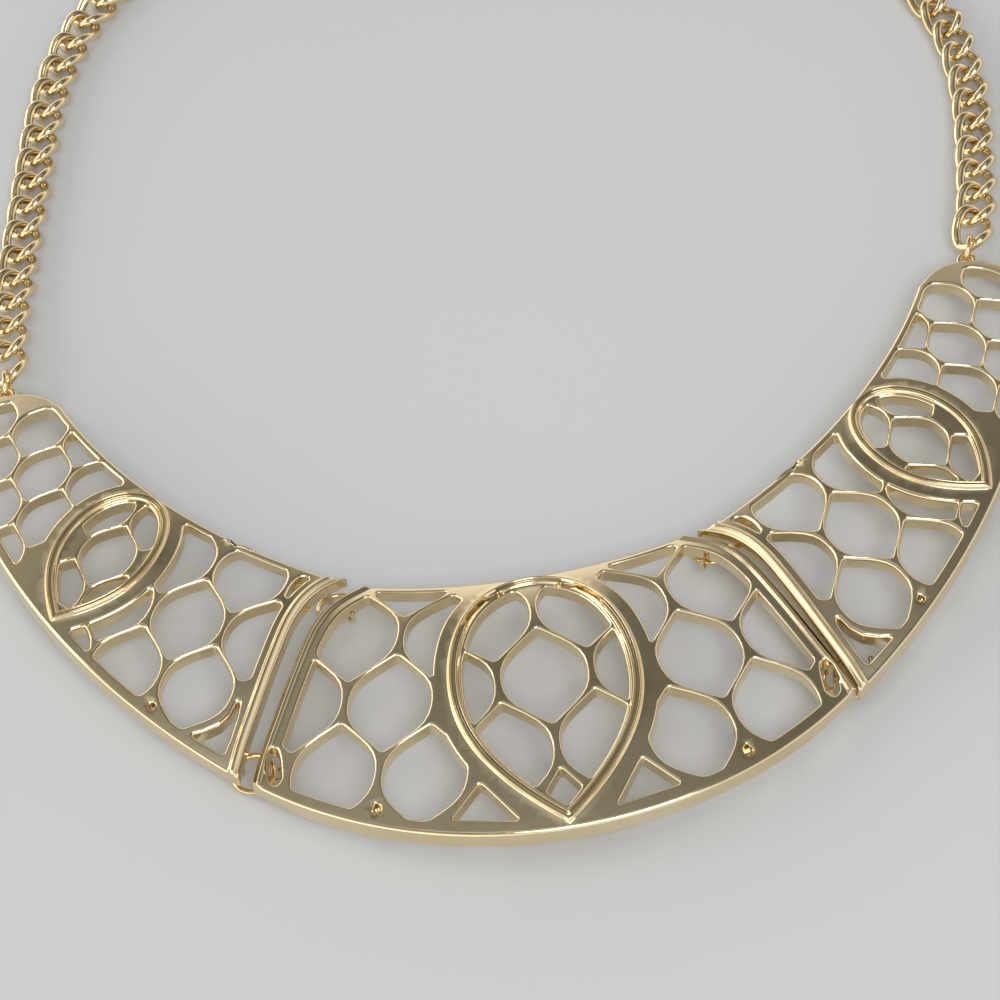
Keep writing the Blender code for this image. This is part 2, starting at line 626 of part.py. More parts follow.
def build():
    for ob in list(bpy.data.objects):
        bpy.data.objects.remove(ob, do_unlink=True)
    gold = material("champagne_gold_plate", (0.80, 0.68, 0.44), 0.16)
    ring_gold = material("champagne_gold_ring", (0.82, 0.66, 0.38), 0.20)
    chain_gold = material("champagne_gold_chain", (0.80, 0.66, 0.40), 0.18)
    clasp_gold = material("champagne_gold_clasp", (0.80, 0.66, 0.40), 0.22)

    outline_c = centre_outline(3.0)
    holes_c = centre_holes(outline_c, 2.2, 6)
    outline_s = side_outline(3.0)
    holes_s = side_holes(outline_s, 2.0, 6)

    joint_c = smooth_through(JOINT_KNOTS, 3)
    meshes = {"centre_plate": plate_mesh("centre_plate", outline_c, holes_c, TEAR_CENTRE, centre_face,
                                         [joint_c, [(-p, q) for p, q in joint_c]]),
              "right_plate": plate_mesh("right_plate", outline_s, holes_s, TEAR_SIDE, side_face, [side_joint(2.0)])}
    left = meshes["right_plate"].copy()
    left.name = "left_plate"
    left.transform(Matrix.Scale(-1.0, 4, Vector((1.0, 0.0, 0.0))))
    left.flip_normals()
    meshes["left_plate"] = left
    plates = {key: placed(key, mesh, to_metres(plate_matrix(key)), gold, True) for key, mesh in meshes.items()}

    # joint rings and the cast staples they hang in
    joint_ring = tube_mesh("joint_ring", ring_path(RING_OUT, RING_WIRE, 14), RING_WIRE / 2.0, 6, True)
    mean_r = (RING_OUT - RING_WIRE) / 2.0
    edge = smooth_through(JOINT_KNOTS, 4)
    for side, sign in (("right", 1.0), ("left", -1.0)):
        for where, spec in JOINT_RINGS.items():
            (at, along), = steps_along(edge, 1.0, 1, length_of(edge) * spec["share"])
            out = (along[1], -along[0])
            move = LYING_GAP[side] / 2.0 - spec["lean"]
            at = (at[0] + out[0] * move, at[1] + out[1] * move)
            centre = from_plate("centre_plate", sign * at[0], at[1])
            toward = from_plate("centre_plate", sign * (at[0] + out[0]), at[1] + out[1])
            normal = (toward[0] - centre[0], toward[1] - centre[1])
            def back_at(x, y):
                spot = (centre[0] + normal[0] * x - normal[1] * y, centre[1] + normal[1] * x + normal[0] * y)
                return min(face_height(key, spot) for key in ("centre_plate", side + "_plate")) - PLATE_THICK

            rise_x = (back_at(mean_r, 0.0) - back_at(-mean_r, 0.0)) / (2.0 * mean_r)
            rise_y = (back_at(0.0, mean_r) - back_at(0.0, -mean_r)) / (2.0 * mean_r)
            z = min(back_at(x, y) - rise_x * x - rise_y * y
                    for x, y in ((mean_r * math.cos(a), mean_r * math.sin(a)) for a in (math.pi * k / 6.0 for k in range(12))))
            z -= 0.3 + RING_WIRE / 2.0
            for key, reach in (("centre_plate", -mean_r), (side + "_plate", mean_r)):
                spot = (centre[0] + normal[0] * reach, centre[1] + normal[1] * reach)
                back = face_height(key, spot) - PLATE_THICK
                drop = back - z - rise_x * reach + (RING_WIRE + STAPLE_WIRE) / 2.0 + STAPLE_PLAY
                staple = tube_mesh("staple_" + side + "_" + where, staple_path(spec["reach"], drop, 6),
                                   STAPLE_WIRE / 2.0, 6, False)
                guide = placed("staple_" + side + "_" + where + "_" + key, staple, to_metres(heading(normal, (*spot, back))),
                               gold, False)
                fuse(plates[key], [guide])
            across = Vector((normal[0], normal[1], rise_x)).normalized()
            along = Vector((-normal[1], normal[0], rise_y))
            along = (along - across * along.dot(across)).normalized()
            turn = Matrix((across, along, across.cross(along))).transposed().to_4x4()
            placed("joint_ring_" + side + "_" + where, joint_ring,
                   to_metres(Matrix.Translation(Vector((*centre, z))) @ turn), ring_gold, True)

    # chain eyes, end rings, curb links, clasp
    eye = tube_mesh("eye", ring_path(2.0 * EYE_R + EYE_WIRE, EYE_WIRE, 12), EYE_WIRE / 2.0, 6, True)
    end_ring = tube_mesh("end_ring", ring_path(END_RING_OUT, END_RING_WIRE, 14), END_RING_WIRE / 2.0, 6, True)
    clasp_ring = tube_mesh("clasp_ring", ring_path(CLASP_RING_OUT, END_RING_WIRE, 14), END_RING_WIRE / 2.0, 6, True)
    link_half = (LINK_PITCH + LINK_PLAY + LINK_WIRE) / 2.0
    link = tube_mesh("curb_link", link_path(12, LINK_TWIST, link_half), LINK_WIRE / 2.0, 4, True)
    short = tube_mesh("short_link", link_path(12, LINK_TWIST, SHORT_HALF), LINK_WIRE / 2.0, 4, True)
    end_c, _ = arc3(*SIDE_END)
    end_r_mean = (END_RING_OUT - END_RING_WIRE) / 2.0
    clasp_r_mean = (CLASP_RING_OUT - END_RING_WIRE) / 2.0
    clasp_half = (CLASP_LONG - CLASP_THICK) / 2.0
    first_gap = 0.1 + end_r_mean * 2.0 - END_RING_WIRE / 2.0 - 0.3 - LINK_WIRE / 2.0
    to_clasp_ring = clasp_r_mean - END_RING_WIRE / 2.0 - 0.3 - LINK_WIRE / 2.0
    ring_to_clasp = clasp_r_mean - END_RING_WIRE / 2.0 - 0.6 - CLASP_THICK / 2.0
    for side, sign, knots in (("right", 1.0, CHAIN_RIGHT), ("left", -1.0, CHAIN_LEFT)):
        key = side + "_plate"
        apex = SIDE_END[1]
        away = (apex[0] - end_c[0], apex[1] - end_c[1])
        size = math.hypot(*away)
        spot = from_plate(key, apex[0] + away[0] / size * EYE_OUT, apex[1] + away[1] / size * EYE_OUT)
        edge_z = face_height(key, from_plate(key, *apex)) - PLATE_THICK / 2.0
        guide = placed("eye_" + side, eye, to_metres(heading((1.0, 0.0), (*spot, edge_z))), gold, False)
        fuse(plates[key], [guide])
        path = smooth_through([spot] + knots + [(sign * clasp_half, CLASP_AT[1])], 6)
        (ring_at, ring_dir), = steps_along(path, 1.0, 1, end_r_mean + 0.1)
        placed("end_ring_" + side, end_ring,
               to_metres(heading(ring_dir, (*ring_at, edge_z), 0.0, math.pi / 2.0)), ring_gold, True)
        start = first_gap + link_half
        finish = length_of(path) - ring_to_clasp - to_clasp_ring - link_half
        count = round((finish - start) / LINK_PITCH) + 1
        pitch = (finish - start) / (count - 1)
        run = None
        for k, (at, along) in enumerate(steps_along(path, pitch, count, start)):
            near, slope_near = settling(pitch * k, edge_z - CHAIN_REST)
            far, slope_far = settling(pitch * (count - 1 - k), CHAIN_RAISED - CHAIN_REST)
            place = to_metres(heading(along, (*at, CHAIN_REST + near + far), math.atan(slope_near - slope_far)))
            if k < count - JOINED_LINKS:
                placed("link_%s_%02d" % (side, k + 1), link, place, chain_gold, True)
            elif run is None:
                run = placed("chain_back_" + side, link, place, chain_gold, True)
            else:
                odd = (k - (count - JOINED_LINKS)) % 2 == 1
                fuse(run, [placed("guide_%s_%02d" % (side, k + 1), short if odd else link, place, chain_gold, False)])
        (ring_at, ring_dir), = steps_along(path, 1.0, 1, length_of(path) - ring_to_clasp)
        placed("clasp_ring_" + side, clasp_ring,
               to_metres(heading(ring_dir, (*ring_at, CLASP_RING_OUT / 2.0 + 0.05), 0.0, math.pi / 2.0)), ring_gold, True)

    oval = [Vector((clasp_half * math.cos(a), (CLASP_WIDE - CLASP_THICK) / 2.0 * math.sin(a), 0.2 * math.cos(2.0 * a)))
            for a in (2.0 * math.pi * k / 20 for k in range(20))]
    placed("clasp", tube_mesh("clasp", oval, CLASP_THICK / 2.0, 8, True),
           to_metres(heading((1.0, 0.0), (*CLASP_AT, CHAIN_RAISED))), clasp_gold, True)


build()
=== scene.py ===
"""Bib necklace of three pierced ogee-lattice plates and a curb chain: the look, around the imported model."""
import math

import bmesh
import bpy
import numpy as np
from mathutils import Matrix, Vector, geometry


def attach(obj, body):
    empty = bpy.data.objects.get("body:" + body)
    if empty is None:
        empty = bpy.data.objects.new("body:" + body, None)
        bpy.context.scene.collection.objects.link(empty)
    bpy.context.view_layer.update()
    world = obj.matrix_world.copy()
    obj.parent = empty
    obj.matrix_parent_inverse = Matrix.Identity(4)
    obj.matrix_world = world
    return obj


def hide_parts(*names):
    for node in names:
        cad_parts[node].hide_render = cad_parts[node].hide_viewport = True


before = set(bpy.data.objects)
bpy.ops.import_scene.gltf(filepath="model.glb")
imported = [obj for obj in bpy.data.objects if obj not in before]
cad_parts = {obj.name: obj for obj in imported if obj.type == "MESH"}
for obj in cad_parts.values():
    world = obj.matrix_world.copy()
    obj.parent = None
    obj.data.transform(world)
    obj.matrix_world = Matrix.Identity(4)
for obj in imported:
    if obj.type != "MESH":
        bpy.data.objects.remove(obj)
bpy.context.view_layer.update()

MM = 0.001

# --- driving sizes, millimetres ------------------------------------------------------------
PLATE_THICK = 2.5          # lattice metal
RIM_THICK = 3.0            # metal along the outline, away from the joints
THIN_NEAR_JOINT = 7.0      # the outline is only as thick as the lattice this close to a joint
RIM = 2.0                  # face width between a hole and the outer edge
NECK_RIM = 1.4             # face width between a hole and the neck edge
BAR = 2.9                  # face width between a hole and a joint edge
DOME_R = 245.0             # radius of the shallow dome that the face follows
ROLL_FROM = 11.0           # the face rolls down this far from the neck edge
ROLL_R = 30.0              # radius of that roll
RIDGE = 1.4                # width of the raised teardrop ridge
RIDGE_HIGH = 0.45
RIDGE_OUT = 2.1            # face between the ridge and the holes outside it
JOINT_GAP = 1.2            # between neighbouring plates
OGEE_RATIO = 1.765         # lattice row spacing / column spacing
OGEE_WIDE = 0.45           # half width of a hole / column spacing
OGEE_TALL = 0.615          # half height of a hole / column spacing
OGEE_FULL = 0.07           # how much fuller than a cosine its flanks are
SMALLEST_HOLE = 2.2        # mm2, anything less stays solid

RING_WIRE = 0.85
RING_OUT = 6.8             # joint rings
END_RING_WIRE = 0.8
END_RING_OUT = 5.2         # rings that join plate and chain
CLASP_RING_OUT = 6.8
STAPLE_WIRE = 0.7
STAPLE_PLAY = 0.22         # between a joint ring and the staple's round bottom
EYE_WIRE = 0.9             # cast eye at the chain end of a side plate
EYE_R = 1.2
EYE_OUT = 0.7

LINK_PITCH = 5.5
LINK_WIRE = 1.6
LINK_WIDTH = 6.9
LINK_PLAY = 0.5
LINK_TWIST = 1.2           # half rise of the twisted link
SHORT_HALF = 3.1           # half length of every second link where the chain is one solid
JOINED_LINKS = 7           # links in the one-solid run on each side of the clasp
CLASP_LONG = 13.0
CLASP_WIDE = 7.8
CLASP_THICK = 2.2

FRAME_SHIFT = (-1.89, -47.18, -0.09)  # brings the bottom centre of the whole loop to the origin


# --- plan geometry -------------------------------------------------------------------------
def arc3(a, b, c):
    """Centre and radius of the circle through three points."""
    ax, ay, bx, by, cx, cy = *a, *b, *c
    d = 2.0 * (ax * (by - cy) + bx * (cy - ay) + cx * (ay - by))
    ux = ((ax * ax + ay * ay) * (by - cy) + (bx * bx + by * by) * (cy - ay) + (cx * cx + cy * cy) * (ay - by)) / d
    uy = ((ax * ax + ay * ay) * (cx - bx) + (bx * bx + by * by) * (ax - cx) + (cx * cx + cy * cy) * (bx - ax)) / d
    return (ux, uy), math.hypot(ax - ux, ay - uy)


def arc_points(centre, radius, start, end, count):
    """Points on a circle from start to end, the short way round."""
    t0 = math.atan2(start[1] - centre[1], start[0] - centre[0])
    t1 = math.atan2(end[1] - centre[1], end[0] - centre[0])
    turn = (t1 - t0 + math.pi) % (2.0 * math.pi) - math.pi
    return [(centre[0] + radius * math.cos(t0 + turn * k / count),
             centre[1] + radius * math.sin(t0 + turn * k / count)) for k in range(count + 1)]


def smooth_through(knots, per_span):
    """Catmull-Rom curve through the knots."""
    out = []
    for i in range(len(knots) - 1):
        p0 = knots[max(i - 1, 0)]
        p1, p2 = knots[i], knots[i + 1]
        p3 = knots[min(i + 2, len(knots) - 1)]
        for k in range(per_span):
            t = k / per_span
            out.append(tuple(0.5 * (2 * p1[d] + (p2[d] - p0[d]) * t
                                    + (2 * p0[d] - 5 * p1[d] + 4 * p2[d] - p3[d]) * t * t
                                    + (3 * p1[d] - p0[d] - 3 * p2[d] + p3[d]) * t ** 3)
                             for d in range(len(p1))))
    out.append(tuple(knots[-1]))
    return out


def offset_line(points, distance):
    """An open line moved sideways, to its left for a positive distance."""
    out = []
    for i, p in enumerate(points):
        a, b = points[max(i - 1, 0)], points[min(i + 1, len(points) - 1)]
        length = math.hypot(b[0] - a[0], b[1] - a[1])
        out.append((p[0] - (b[1] - a[1]) / length * distance, p[1] + (b[0] - a[0]) / length * distance))
    return out


def segment_gap(p, a, b):
    dx, dy = b[0] - a[0], b[1] - a[1]
    t = max(0.0, min(1.0, ((p[0] - a[0]) * dx + (p[1] - a[1]) * dy) / (dx * dx + dy * dy)))
    return math.hypot(p[0] - a[0] - t * dx, p[1] - a[1] - t * dy)


def within(p, ring):
    hit = False
    for i in range(len(ring)):
        a, b = ring[i - 1], ring[i]
        if (a[1] > p[1]) != (b[1] > p[1]) and p[0] < a[0] + (p[1] - a[1]) / (b[1] - a[1]) * (b[0] - a[0]):
            hit = not hit
    return hit


def depth_in(p, ring):
    """Signed distance to a closed ring, positive inside."""
    gap = min(segment_gap(p, ring[i - 1], ring[i]) for i in range(len(ring)))
    return gap if within(p, ring) else -gap


def line_gap(p, line):
    return min(segment_gap(p, line[i], line[i + 1]) for i in range(len(line) - 1))


def area(ring):
    return 0.5 * sum(ring[i - 1][0] * ring[i][1] - ring[i][0] * ring[i - 1][1] for i in range(len(ring)))


def clip(ring, side, step):
    """The part of a closed ring where side(p) > 0, closed along side(p) = 0."""
    if not ring:
        return []
    value = [side(p) for p in ring]
    if min(value) >= 0.0:
        return ring
    if max(value) <= 0.0:
        return []

    def crossing(a, b, fa, fb):
        for _ in range(4):
            t = fa / (fa - fb)
            m = (a[0] + (b[0] - a[0]) * t, a[1] + (b[1] - a[1]) * t)
            fm = side(m)
            if (fm >= 0.0) == (fa >= 0.0):
                a, fa = m, fm
            else:
                b, fb = m, fm
            if abs(fa - fb) < 1e-9:
                break
        return m

    def settle(p):
        for _ in range(4):
            f = side(p)
            gx = (side((p[0] + 0.01, p[1])) - f) / 0.01
            gy = (side((p[0], p[1] + 0.01)) - f) / 0.01
            g2 = max(gx * gx + gy * gy, 0.1)
            p = (p[0] - f * gx / g2, p[1] - f * gy / g2)
        return p

    count = len(ring)
    start = next(i for i in range(count) if value[i] < 0.0 <= value[(i + 1) % count])
    out = []
    leaving = None
    for k in range(count):
        i, j = (start + k) % count, (start + k + 1) % count
        a, b, fa, fb = ring[i], ring[j], value[i], value[j]
        if fa < 0.0 <= fb:
            entering = crossing(a, b, fa, fb)
            if leaving is not None:
                out += border(leaving, entering, settle, step)
            out.append(entering)
        if fb >= 0.0:
            out.append(b)
        if fa >= 0.0 > fb:
            leaving = crossing(a, b, fa, fb)
            out.append(leaving)
    return out + border(leaving, out[0], settle, step)


def border(a, b, settle, step):
    count = int(math.hypot(b[0] - a[0], b[1] - a[1]) / step)
    return [settle((a[0] + (b[0] - a[0]) * k / (count + 1), a[1] + (b[1] - a[1]) * k / (count + 1)))
            for k in range(1, count + 1)]


def tidy(ring, least):
    """Drops points that crowd their neighbour."""
    out = []
    for p in ring:
        if not out or math.hypot(p[0] - out[-1][0], p[1] - out[-1][1]) > least:
            out.append(p)
    while len(out) > 2 and math.hypot(out[0][0] - out[-1][0], out[0][1] - out[-1][1]) < least:
        out.pop()
    return out


def ogee(centre, pitch, turn, column, row, per_side):
    """One pointed lattice hole, both flanks following the same swelling curve."""
    tall, wide = OGEE_TALL * pitch, OGEE_WIDE * pitch
    cx, cy = column * pitch / 2.0, row * pitch * OGEE_RATIO / 2.0
    cs, sn = math.cos(math.radians(turn)), math.sin(math.radians(turn))
    out = []
    for k in range(2 * per_side):
        t = 1.0 - 2.0 * (k if k <= per_side else 2 * per_side - k) / per_side
        w = wide * (math.cos(math.pi * t / 2.0) + OGEE_FULL * math.sin(math.pi * t) ** 2)
        x, y = cx + (-w if k <= per_side else w), cy + tall * t
        out.append((centre[0] + x * cs - y * sn, centre[1] + x * sn + y * cs))
    return out


def teardrop(tip, turn, length, half, inset, count):
    """Pointed arch below, half ellipse above; inset moves it inward."""
    low = length * 0.553
    high = length - low
    base = []
    for k in range(count):
        u = 4.0 * k / count
        if u <= 1.0 or u > 3.0:
            s = (1.0 - u) if u <= 1.0 else (u - 3.0)
            y, x = low * (1.0 - s), half * (1.0 - s ** 2.1)
            x = x if u <= 1.0 else -x
        else:
            t = math.pi * (u - 1.0) / 2.0
            y, x = low + high * math.sin(t), half * math.cos(t)
        base.append((x, y))
    ring = []
    for k, (x, y) in enumerate(base):
        a, b = base[k - 1], base[(k + 1) % count]
        size = math.hypot(b[0] - a[0], b[1] - a[1])
        if k == 0:
            ring.append((0.0, inset * 1.33))
        else:
            ring.append((x - (b[1] - a[1]) / size * inset, y + (b[0] - a[0]) / size * inset))
    # the base point k = 0 is the widest bottom tip
    cs, sn = math.cos(math.radians(turn)), math.sin(math.radians(turn))
    return [(tip[0] + x * cs - y * sn, tip[1] + x * sn + y * cs) for x, y in ring]


# --- the plates ----------------------------------------------------------------------------
# knots of the joint edge of the centre plate, right half, from the outer edge to the neck edge
JOINT_KNOTS = [(43.7, -14.4), (42.1, -10.0), (39.9, -5.0), (36.3, 3.0), (32.8, 10.0), (29.2, 14.4), (24.5, 17.3)]
CENTRE_NECK = ((0.0, 84.7), 71.7)
CENTRE_RIM = ((0.0, 32.6), 64.2)

# side plate, right-hand form
SIDE_FROM_CENTRE = (-58.6, -5.4)      # centre plate plan to side plate plan at the joint
SIDE_NECK = ((-68.3, 86.0), 82.6)
SIDE_RIM = arc3((-12.4, -18.2), (5.0, 0.4), (24.5, 44.0))
SIDE_END = ((8.8, 55.2), (16.8, 59.2), (25.4, 51.6))

# lattice fields: centre of the field's first hole, column spacing, turn from the q axis
FIELD_WING = dict(centre=(22.54, -6.15), pitch=13.29, turn=14.7)
FIELD_MEDAL = dict(centre=(0.0, -6.3), pitch=13.55, turn=0.0)
FIELD_NEAR = dict(centre=(-9.0, 7.7), pitch=11.53, turn=28.1)
FIELD_FAR = dict(centre=(11.35, 40.4), pitch=9.11, turn=28.8)
FIELD_SMALL = dict(centre=(2.1, 21.7), pitch=9.2, turn=32.0)
TEAR_CENTRE = dict(tip=(0.0, -31.0), turn=0.0, length=43.6, half=14.1)
TEAR_SIDE = dict(tip=(11.2, 11.3), turn=39.0, length=26.3, half=8.2)
RIDGE_IN = {"centre": 0.9, "side": 0.6}   # face between the ridge and the holes inside it
# slots beside the outer joint rings
EYE_SLOT = [(40.1, -9.1), (41.0, -10.4), (41.3, -12.6), (41.2, -14.6), (40.2, -15.6), (39.3, -14.6), (39.2, -11.6), (39.4, -9.7)]
# openings at the foot of the centre teardrop, where the lattice is squeezed against the rim
FOOT_OPENINGS = [[(11.5, -22.2), (16.2, -27.0), (6.9, -29.0)], [(-11.5, -22.2), (-6.9, -29.0), (-16.2, -27.0)],
                 [(0.0, -21.9), (2.5, -25.4), (0.0, -27.9), (-2.5, -25.4)]]


def centre_face(p, q):
    roll = max(0.0, ROLL_FROM - (math.hypot(p - CENTRE_NECK[0][0], q - CENTRE_NECK[0][1]) - CENTRE_NECK[1]))
    return -(p * p + (q + 2.0) ** 2) / (2.0 * DOME_R) - roll * roll / (2.0 * ROLL_R)


def side_face(p, q):
    roll = max(0.0, ROLL_FROM - (math.hypot(p - SIDE_NECK[0][0], q - SIDE_NECK[0][1]) - SIDE_NECK[1]))
    roll *= max(0.55, 1.0 - 0.009 * max(0.0, q))
    return -((p + 12.0) ** 2 + (q - 25.0) ** 2) / (2.0 * DOME_R) - roll * roll / (2.0 * ROLL_R)


def centre_outline(step):
    joint = smooth_through(JOINT_KNOTS, max(2, int(6.0 / step)))
    rim = arc_points(*CENTRE_RIM, (-43.7, -14.4), (43.7, -14.4), int(96.0 / step))
    neck = arc_points(*CENTRE_NECK, (24.5, 17.3), (-24.5, 17.3), int(50.0 / step))
    return tidy(rim + joint[1:] + neck[1:] + [(-p, q) for p, q in reversed(joint)][1:-1], 0.3)


def side_joint(step):
    line = smooth_through(JOINT_KNOTS, max(2, int(6.0 / step)))
    moved = offset_line(line, -JOINT_GAP)
    return [(p + SIDE_FROM_CENTRE[0], q + SIDE_FROM_CENTRE[1]) for p, q in moved]


def on_circle(centre, radius, towards):
    d = math.hypot(towards[0] - centre[0], towards[1] - centre[1])
    return (centre[0] + (towards[0] - centre[0]) / d * radius, centre[1] + (towards[1] - centre[1]) / d * radius)


def side_outline(step):
    joint = side_joint(step)
    joint[0] = on_circle(*SIDE_RIM, joint[0])
    tip = on_circle(*SIDE_NECK, (joint[-1][0] - 2.6, joint[-1][1]))
    end_c, end_r = arc3(*SIDE_END)
    low, high = on_circle(*SIDE_RIM, SIDE_END[2]), on_circle(*SIDE_NECK, SIDE_END[0])
    rim = arc_points(*SIDE_RIM, joint[0], low, int(76.0 / step))
    end = arc_points(end_c, end_r, low, high, int(26.0 / step))
    beside = [(p + SIDE_FROM_CENTRE[0], q + SIDE_FROM_CENTRE[1]) for p, q in centre_outline(2.0)]
    neck = [p for p in arc_points(*SIDE_NECK, high, tip, int(66.0 / step)) if depth_in(p, beside) < -JOINT_GAP]
    joint = [p for p in joint[:-1] if depth_in(p, beside) < 0.6 - JOINT_GAP]
    return tidy(rim + end[1:] + neck[1:] + list(reversed(joint))[:-1], 0.3)


def hole_list(outline, joint_line, neck, fields, tear, ridge_in, sides, step):
    """Every lattice cell clipped by the edges and by the teardrop ring."""
    ring = teardrop(**tear, inset=0.0, count=56)
    holes = []

    def edge_side(p):
        near_neck = math.hypot(p[0] - neck[0][0], p[1] - neck[0][1]) - neck[1] < 4.0
        return depth_in(p, outline) - (NECK_RIM if near_neck else RIM)

    for field, cells, inner in fields:
        per_side = sides if field["pitch"] > 11.0 else sides - 1
        for column, row, keep in cells:
            cell = ogee(field["centre"], field["pitch"], field["turn"], column, row, per_side)
            cell = clip(cell, lambda p: math.hypot(p[0] - neck[0][0], p[1] - neck[0][1]) - neck[1] - NECK_RIM, step)
            cell = clip(cell, edge_side, step)
            cell = clip(cell, lambda p: joint_line(p) - BAR, step)
            if inner:
                cell = clip(cell, lambda p: depth_in(p, ring) - RIDGE - ridge_in, step)
            else:
                cell = clip(cell, lambda p: -depth_in(p, ring) - RIDGE_OUT, step)
            if keep is not None:
                cell = clip(cell, keep, step)
            cell = tidy(cell, 0.35)
            if len(cell) > 2 and abs(area(cell)) > SMALLEST_HOLE:
                holes.append(cell)
    return holes


CELLS_WING = [(0, 0), (2, 0), (1, -1), (-1, -1), (1, 1), (-1, 1), (0, 2)]
CELLS_MEDAL = [(0, 0), (-1, 1), (1, 1), (-2, 0), (2, 0), (-1, -1), (1, -1)]
CELLS_SMALL = [(0, 0), (-1, 1), (1, 1), (-1, -1), (1, -1)]
CELLS_NEAR = [(0, 0), (-1, -1), (1, -1), (-2, 0), (-1, 1), (1, 1), (0, 2), (-2, 2), (2, 0), (-3, 1),
              (2, -2), (3, -1), (2, 2)]
# three-sided opening in the side plate's outer corner at the seam, plan millimetres
CORNER_OPENING = [(-12.1, -15.3), (-7.9, -11.5), (-9.6, -11.4), (-12.0, -10.7), (-13.8, -9.3), (-15.1, -7.2),
                  (-15.3, -7.6), (-14.6, -9.9), (-13.4, -12.8)]
CELLS_FAR = [(0, 0), (-1, -1), (1, -1), (2, 0), (1, 1), (-2, 0), (-1, 1), (3, 1), (0, 2), (3, -1), (0, -2), (2, -2)]


def centre_holes(outline, step, sides):
    line = smooth_through(JOINT_KNOTS, 3)
    both = [line, [(-p, q) for p, q in line]]

    def joint_line(p):
        side = both[0] if p[0] > 0.0 else both[1]
        return line_gap(p, side) * (1.0 if within(p, outline) else -1.0)

    wing = [(c, r, None) for c, r in CELLS_WING]
    medal = dict(FIELD_MEDAL)
    right = hole_list(outline, joint_line, CENTRE_NECK, [(FIELD_WING, wing, False)], TEAR_CENTRE,
                      RIDGE_IN["centre"], sides, step)
    left = [[(-p, q) for p, q in reversed(hole)] for hole in right]
    middle = hole_list(outline, joint_line, CENTRE_NECK, [(medal, [(c, r, None) for c, r in CELLS_MEDAL], True)],
                       TEAR_CENTRE, RIDGE_IN["centre"], sides, step)
    slots = [EYE_SLOT, [(-p, q) for p, q in EYE_SLOT]]
    return right + left + middle + FOOT_OPENINGS + slots


def side_holes(outline, step, sides):
    joint = side_joint(2.0)

    def joint_line(p):
        return line_gap(p, joint) * (1.0 if within(p, outline) else -1.0)

    axis = math.radians(TEAR_SIDE["turn"])
    tip = TEAR_SIDE["tip"]
    normal = (math.cos(axis), math.sin(axis))

    def beyond(p):
        return (p[0] - tip[0]) * normal[0] + (p[1] - tip[1]) * normal[1]

    fields = [
        (FIELD_NEAR, [(c, r, lambda p: -beyond(p) - 0.8) for c, r in CELLS_NEAR], False),
        (FIELD_FAR, [(c, r, lambda p: beyond(p) - 0.8) for c, r in CELLS_FAR], False),
        (FIELD_SMALL, [(c, r, None) for c, r in CELLS_SMALL], True),
    ]
    return hole_list(outline, joint_line, SIDE_NECK, fields, TEAR_SIDE, RIDGE_IN["side"], sides, step) + [CORNER_OPENING]


def ring_path(outer, wire, around):
    r = (outer - wire) / 2.0
    return [Vector((r * math.cos(a), r * math.sin(a), 0.0))
            for a in (2.0 * math.pi * k / around for k in range(around))]


def link_path(around, twist, long_half):
    wide_half = (LINK_WIDTH - LINK_WIRE) / 2.0
    return [Vector((long_half * math.cos(a), wide_half * math.sin(a), twist * math.sin(2.0 * a)))
            for a in (2.0 * math.pi * k / around for k in range(around))]


# plate placement in the plane, millimetres and degrees; rise is the height of the dome's top
PLACE = {
    "centre_plate": dict(at=(1.86, -30.69), yaw=1.77, rise=9.27, mirror=False),
    "right_plate": dict(at=(60.25, -24.95), yaw=0.0, rise=8.9, mirror=False),
    "left_plate": dict(at=(-57.6, -26.05), yaw=1.52, rise=9.05, mirror=True),
}
FACE = {"centre_plate": centre_face, "right_plate": side_face, "left_plate": side_face}

# joint rings: where the ring crosses the joint edge (0 outer end, 1 neck end), how far its middle
# lies toward the centre plate, and the inner radius of its staples
JOINT_RINGS = {"outer": dict(share=0.10, lean=0.0, reach=1.4), "neck": dict(share=0.90, lean=0.1, reach=0.9)}
LYING_GAP = {"right": 0.6, "left": 2.25}   # gap at each joint as the necklace lies

# chain path, millimetres, from each plate's eye to the clasp at the back
CHAIN_RIGHT = [(80.8, 46.1), (82.4, 54.4), (83.8, 62.9), (84.8, 71.0), (85.1, 78.5), (84.6, 86.0), (83.0, 93.1),
               (77.5, 107.0), (67.0, 122.0), (50.0, 136.5), (28.0, 149.3), (13.0, 152.8)]
CHAIN_LEFT = [(-75.4, 50.0), (-74.2, 62.0), (-72.8, 71.8), (-71.2, 83.3), (-69.3, 95.4), (-67.0, 105.0), (-63.9, 113.3),
              (-59.3, 121.3), (-50.0, 132.0), (-37.0, 142.0), (-25.0, 149.8), (-13.0, 152.8)]
CLASP_AT = (0.0, 152.8)
CHAIN_REST = 2.1           # height of the chain's axis where it lies
CHAIN_RAISED = 3.1         # and where it meets a clasp ring
CHAIN_FALL = 26.0          # length over which it comes down


def plate_matrix(key):
    place = PLACE[key]
    return (Matrix.Translation(Vector((*place["at"], place["rise"])))
            @ Matrix.Rotation(math.radians(place["yaw"]), 4, "Z"))


def to_plate(key, point):
    """Plan coordinates of a point in the plane, in the plate's own right-hand form."""
    local = plate_matrix(key).inverted() @ Vector((point[0], point[1], 0.0))
    return (-local.x if PLACE[key]["mirror"] else local.x, local.y)


def from_plate(key, p, q):
    out = plate_matrix(key) @ Vector((-p if PLACE[key]["mirror"] else p, q, 0.0))
    return (out.x, out.y)


def face_height(key, point):
    return PLACE[key]["rise"] + FACE[key](*to_plate(key, point))


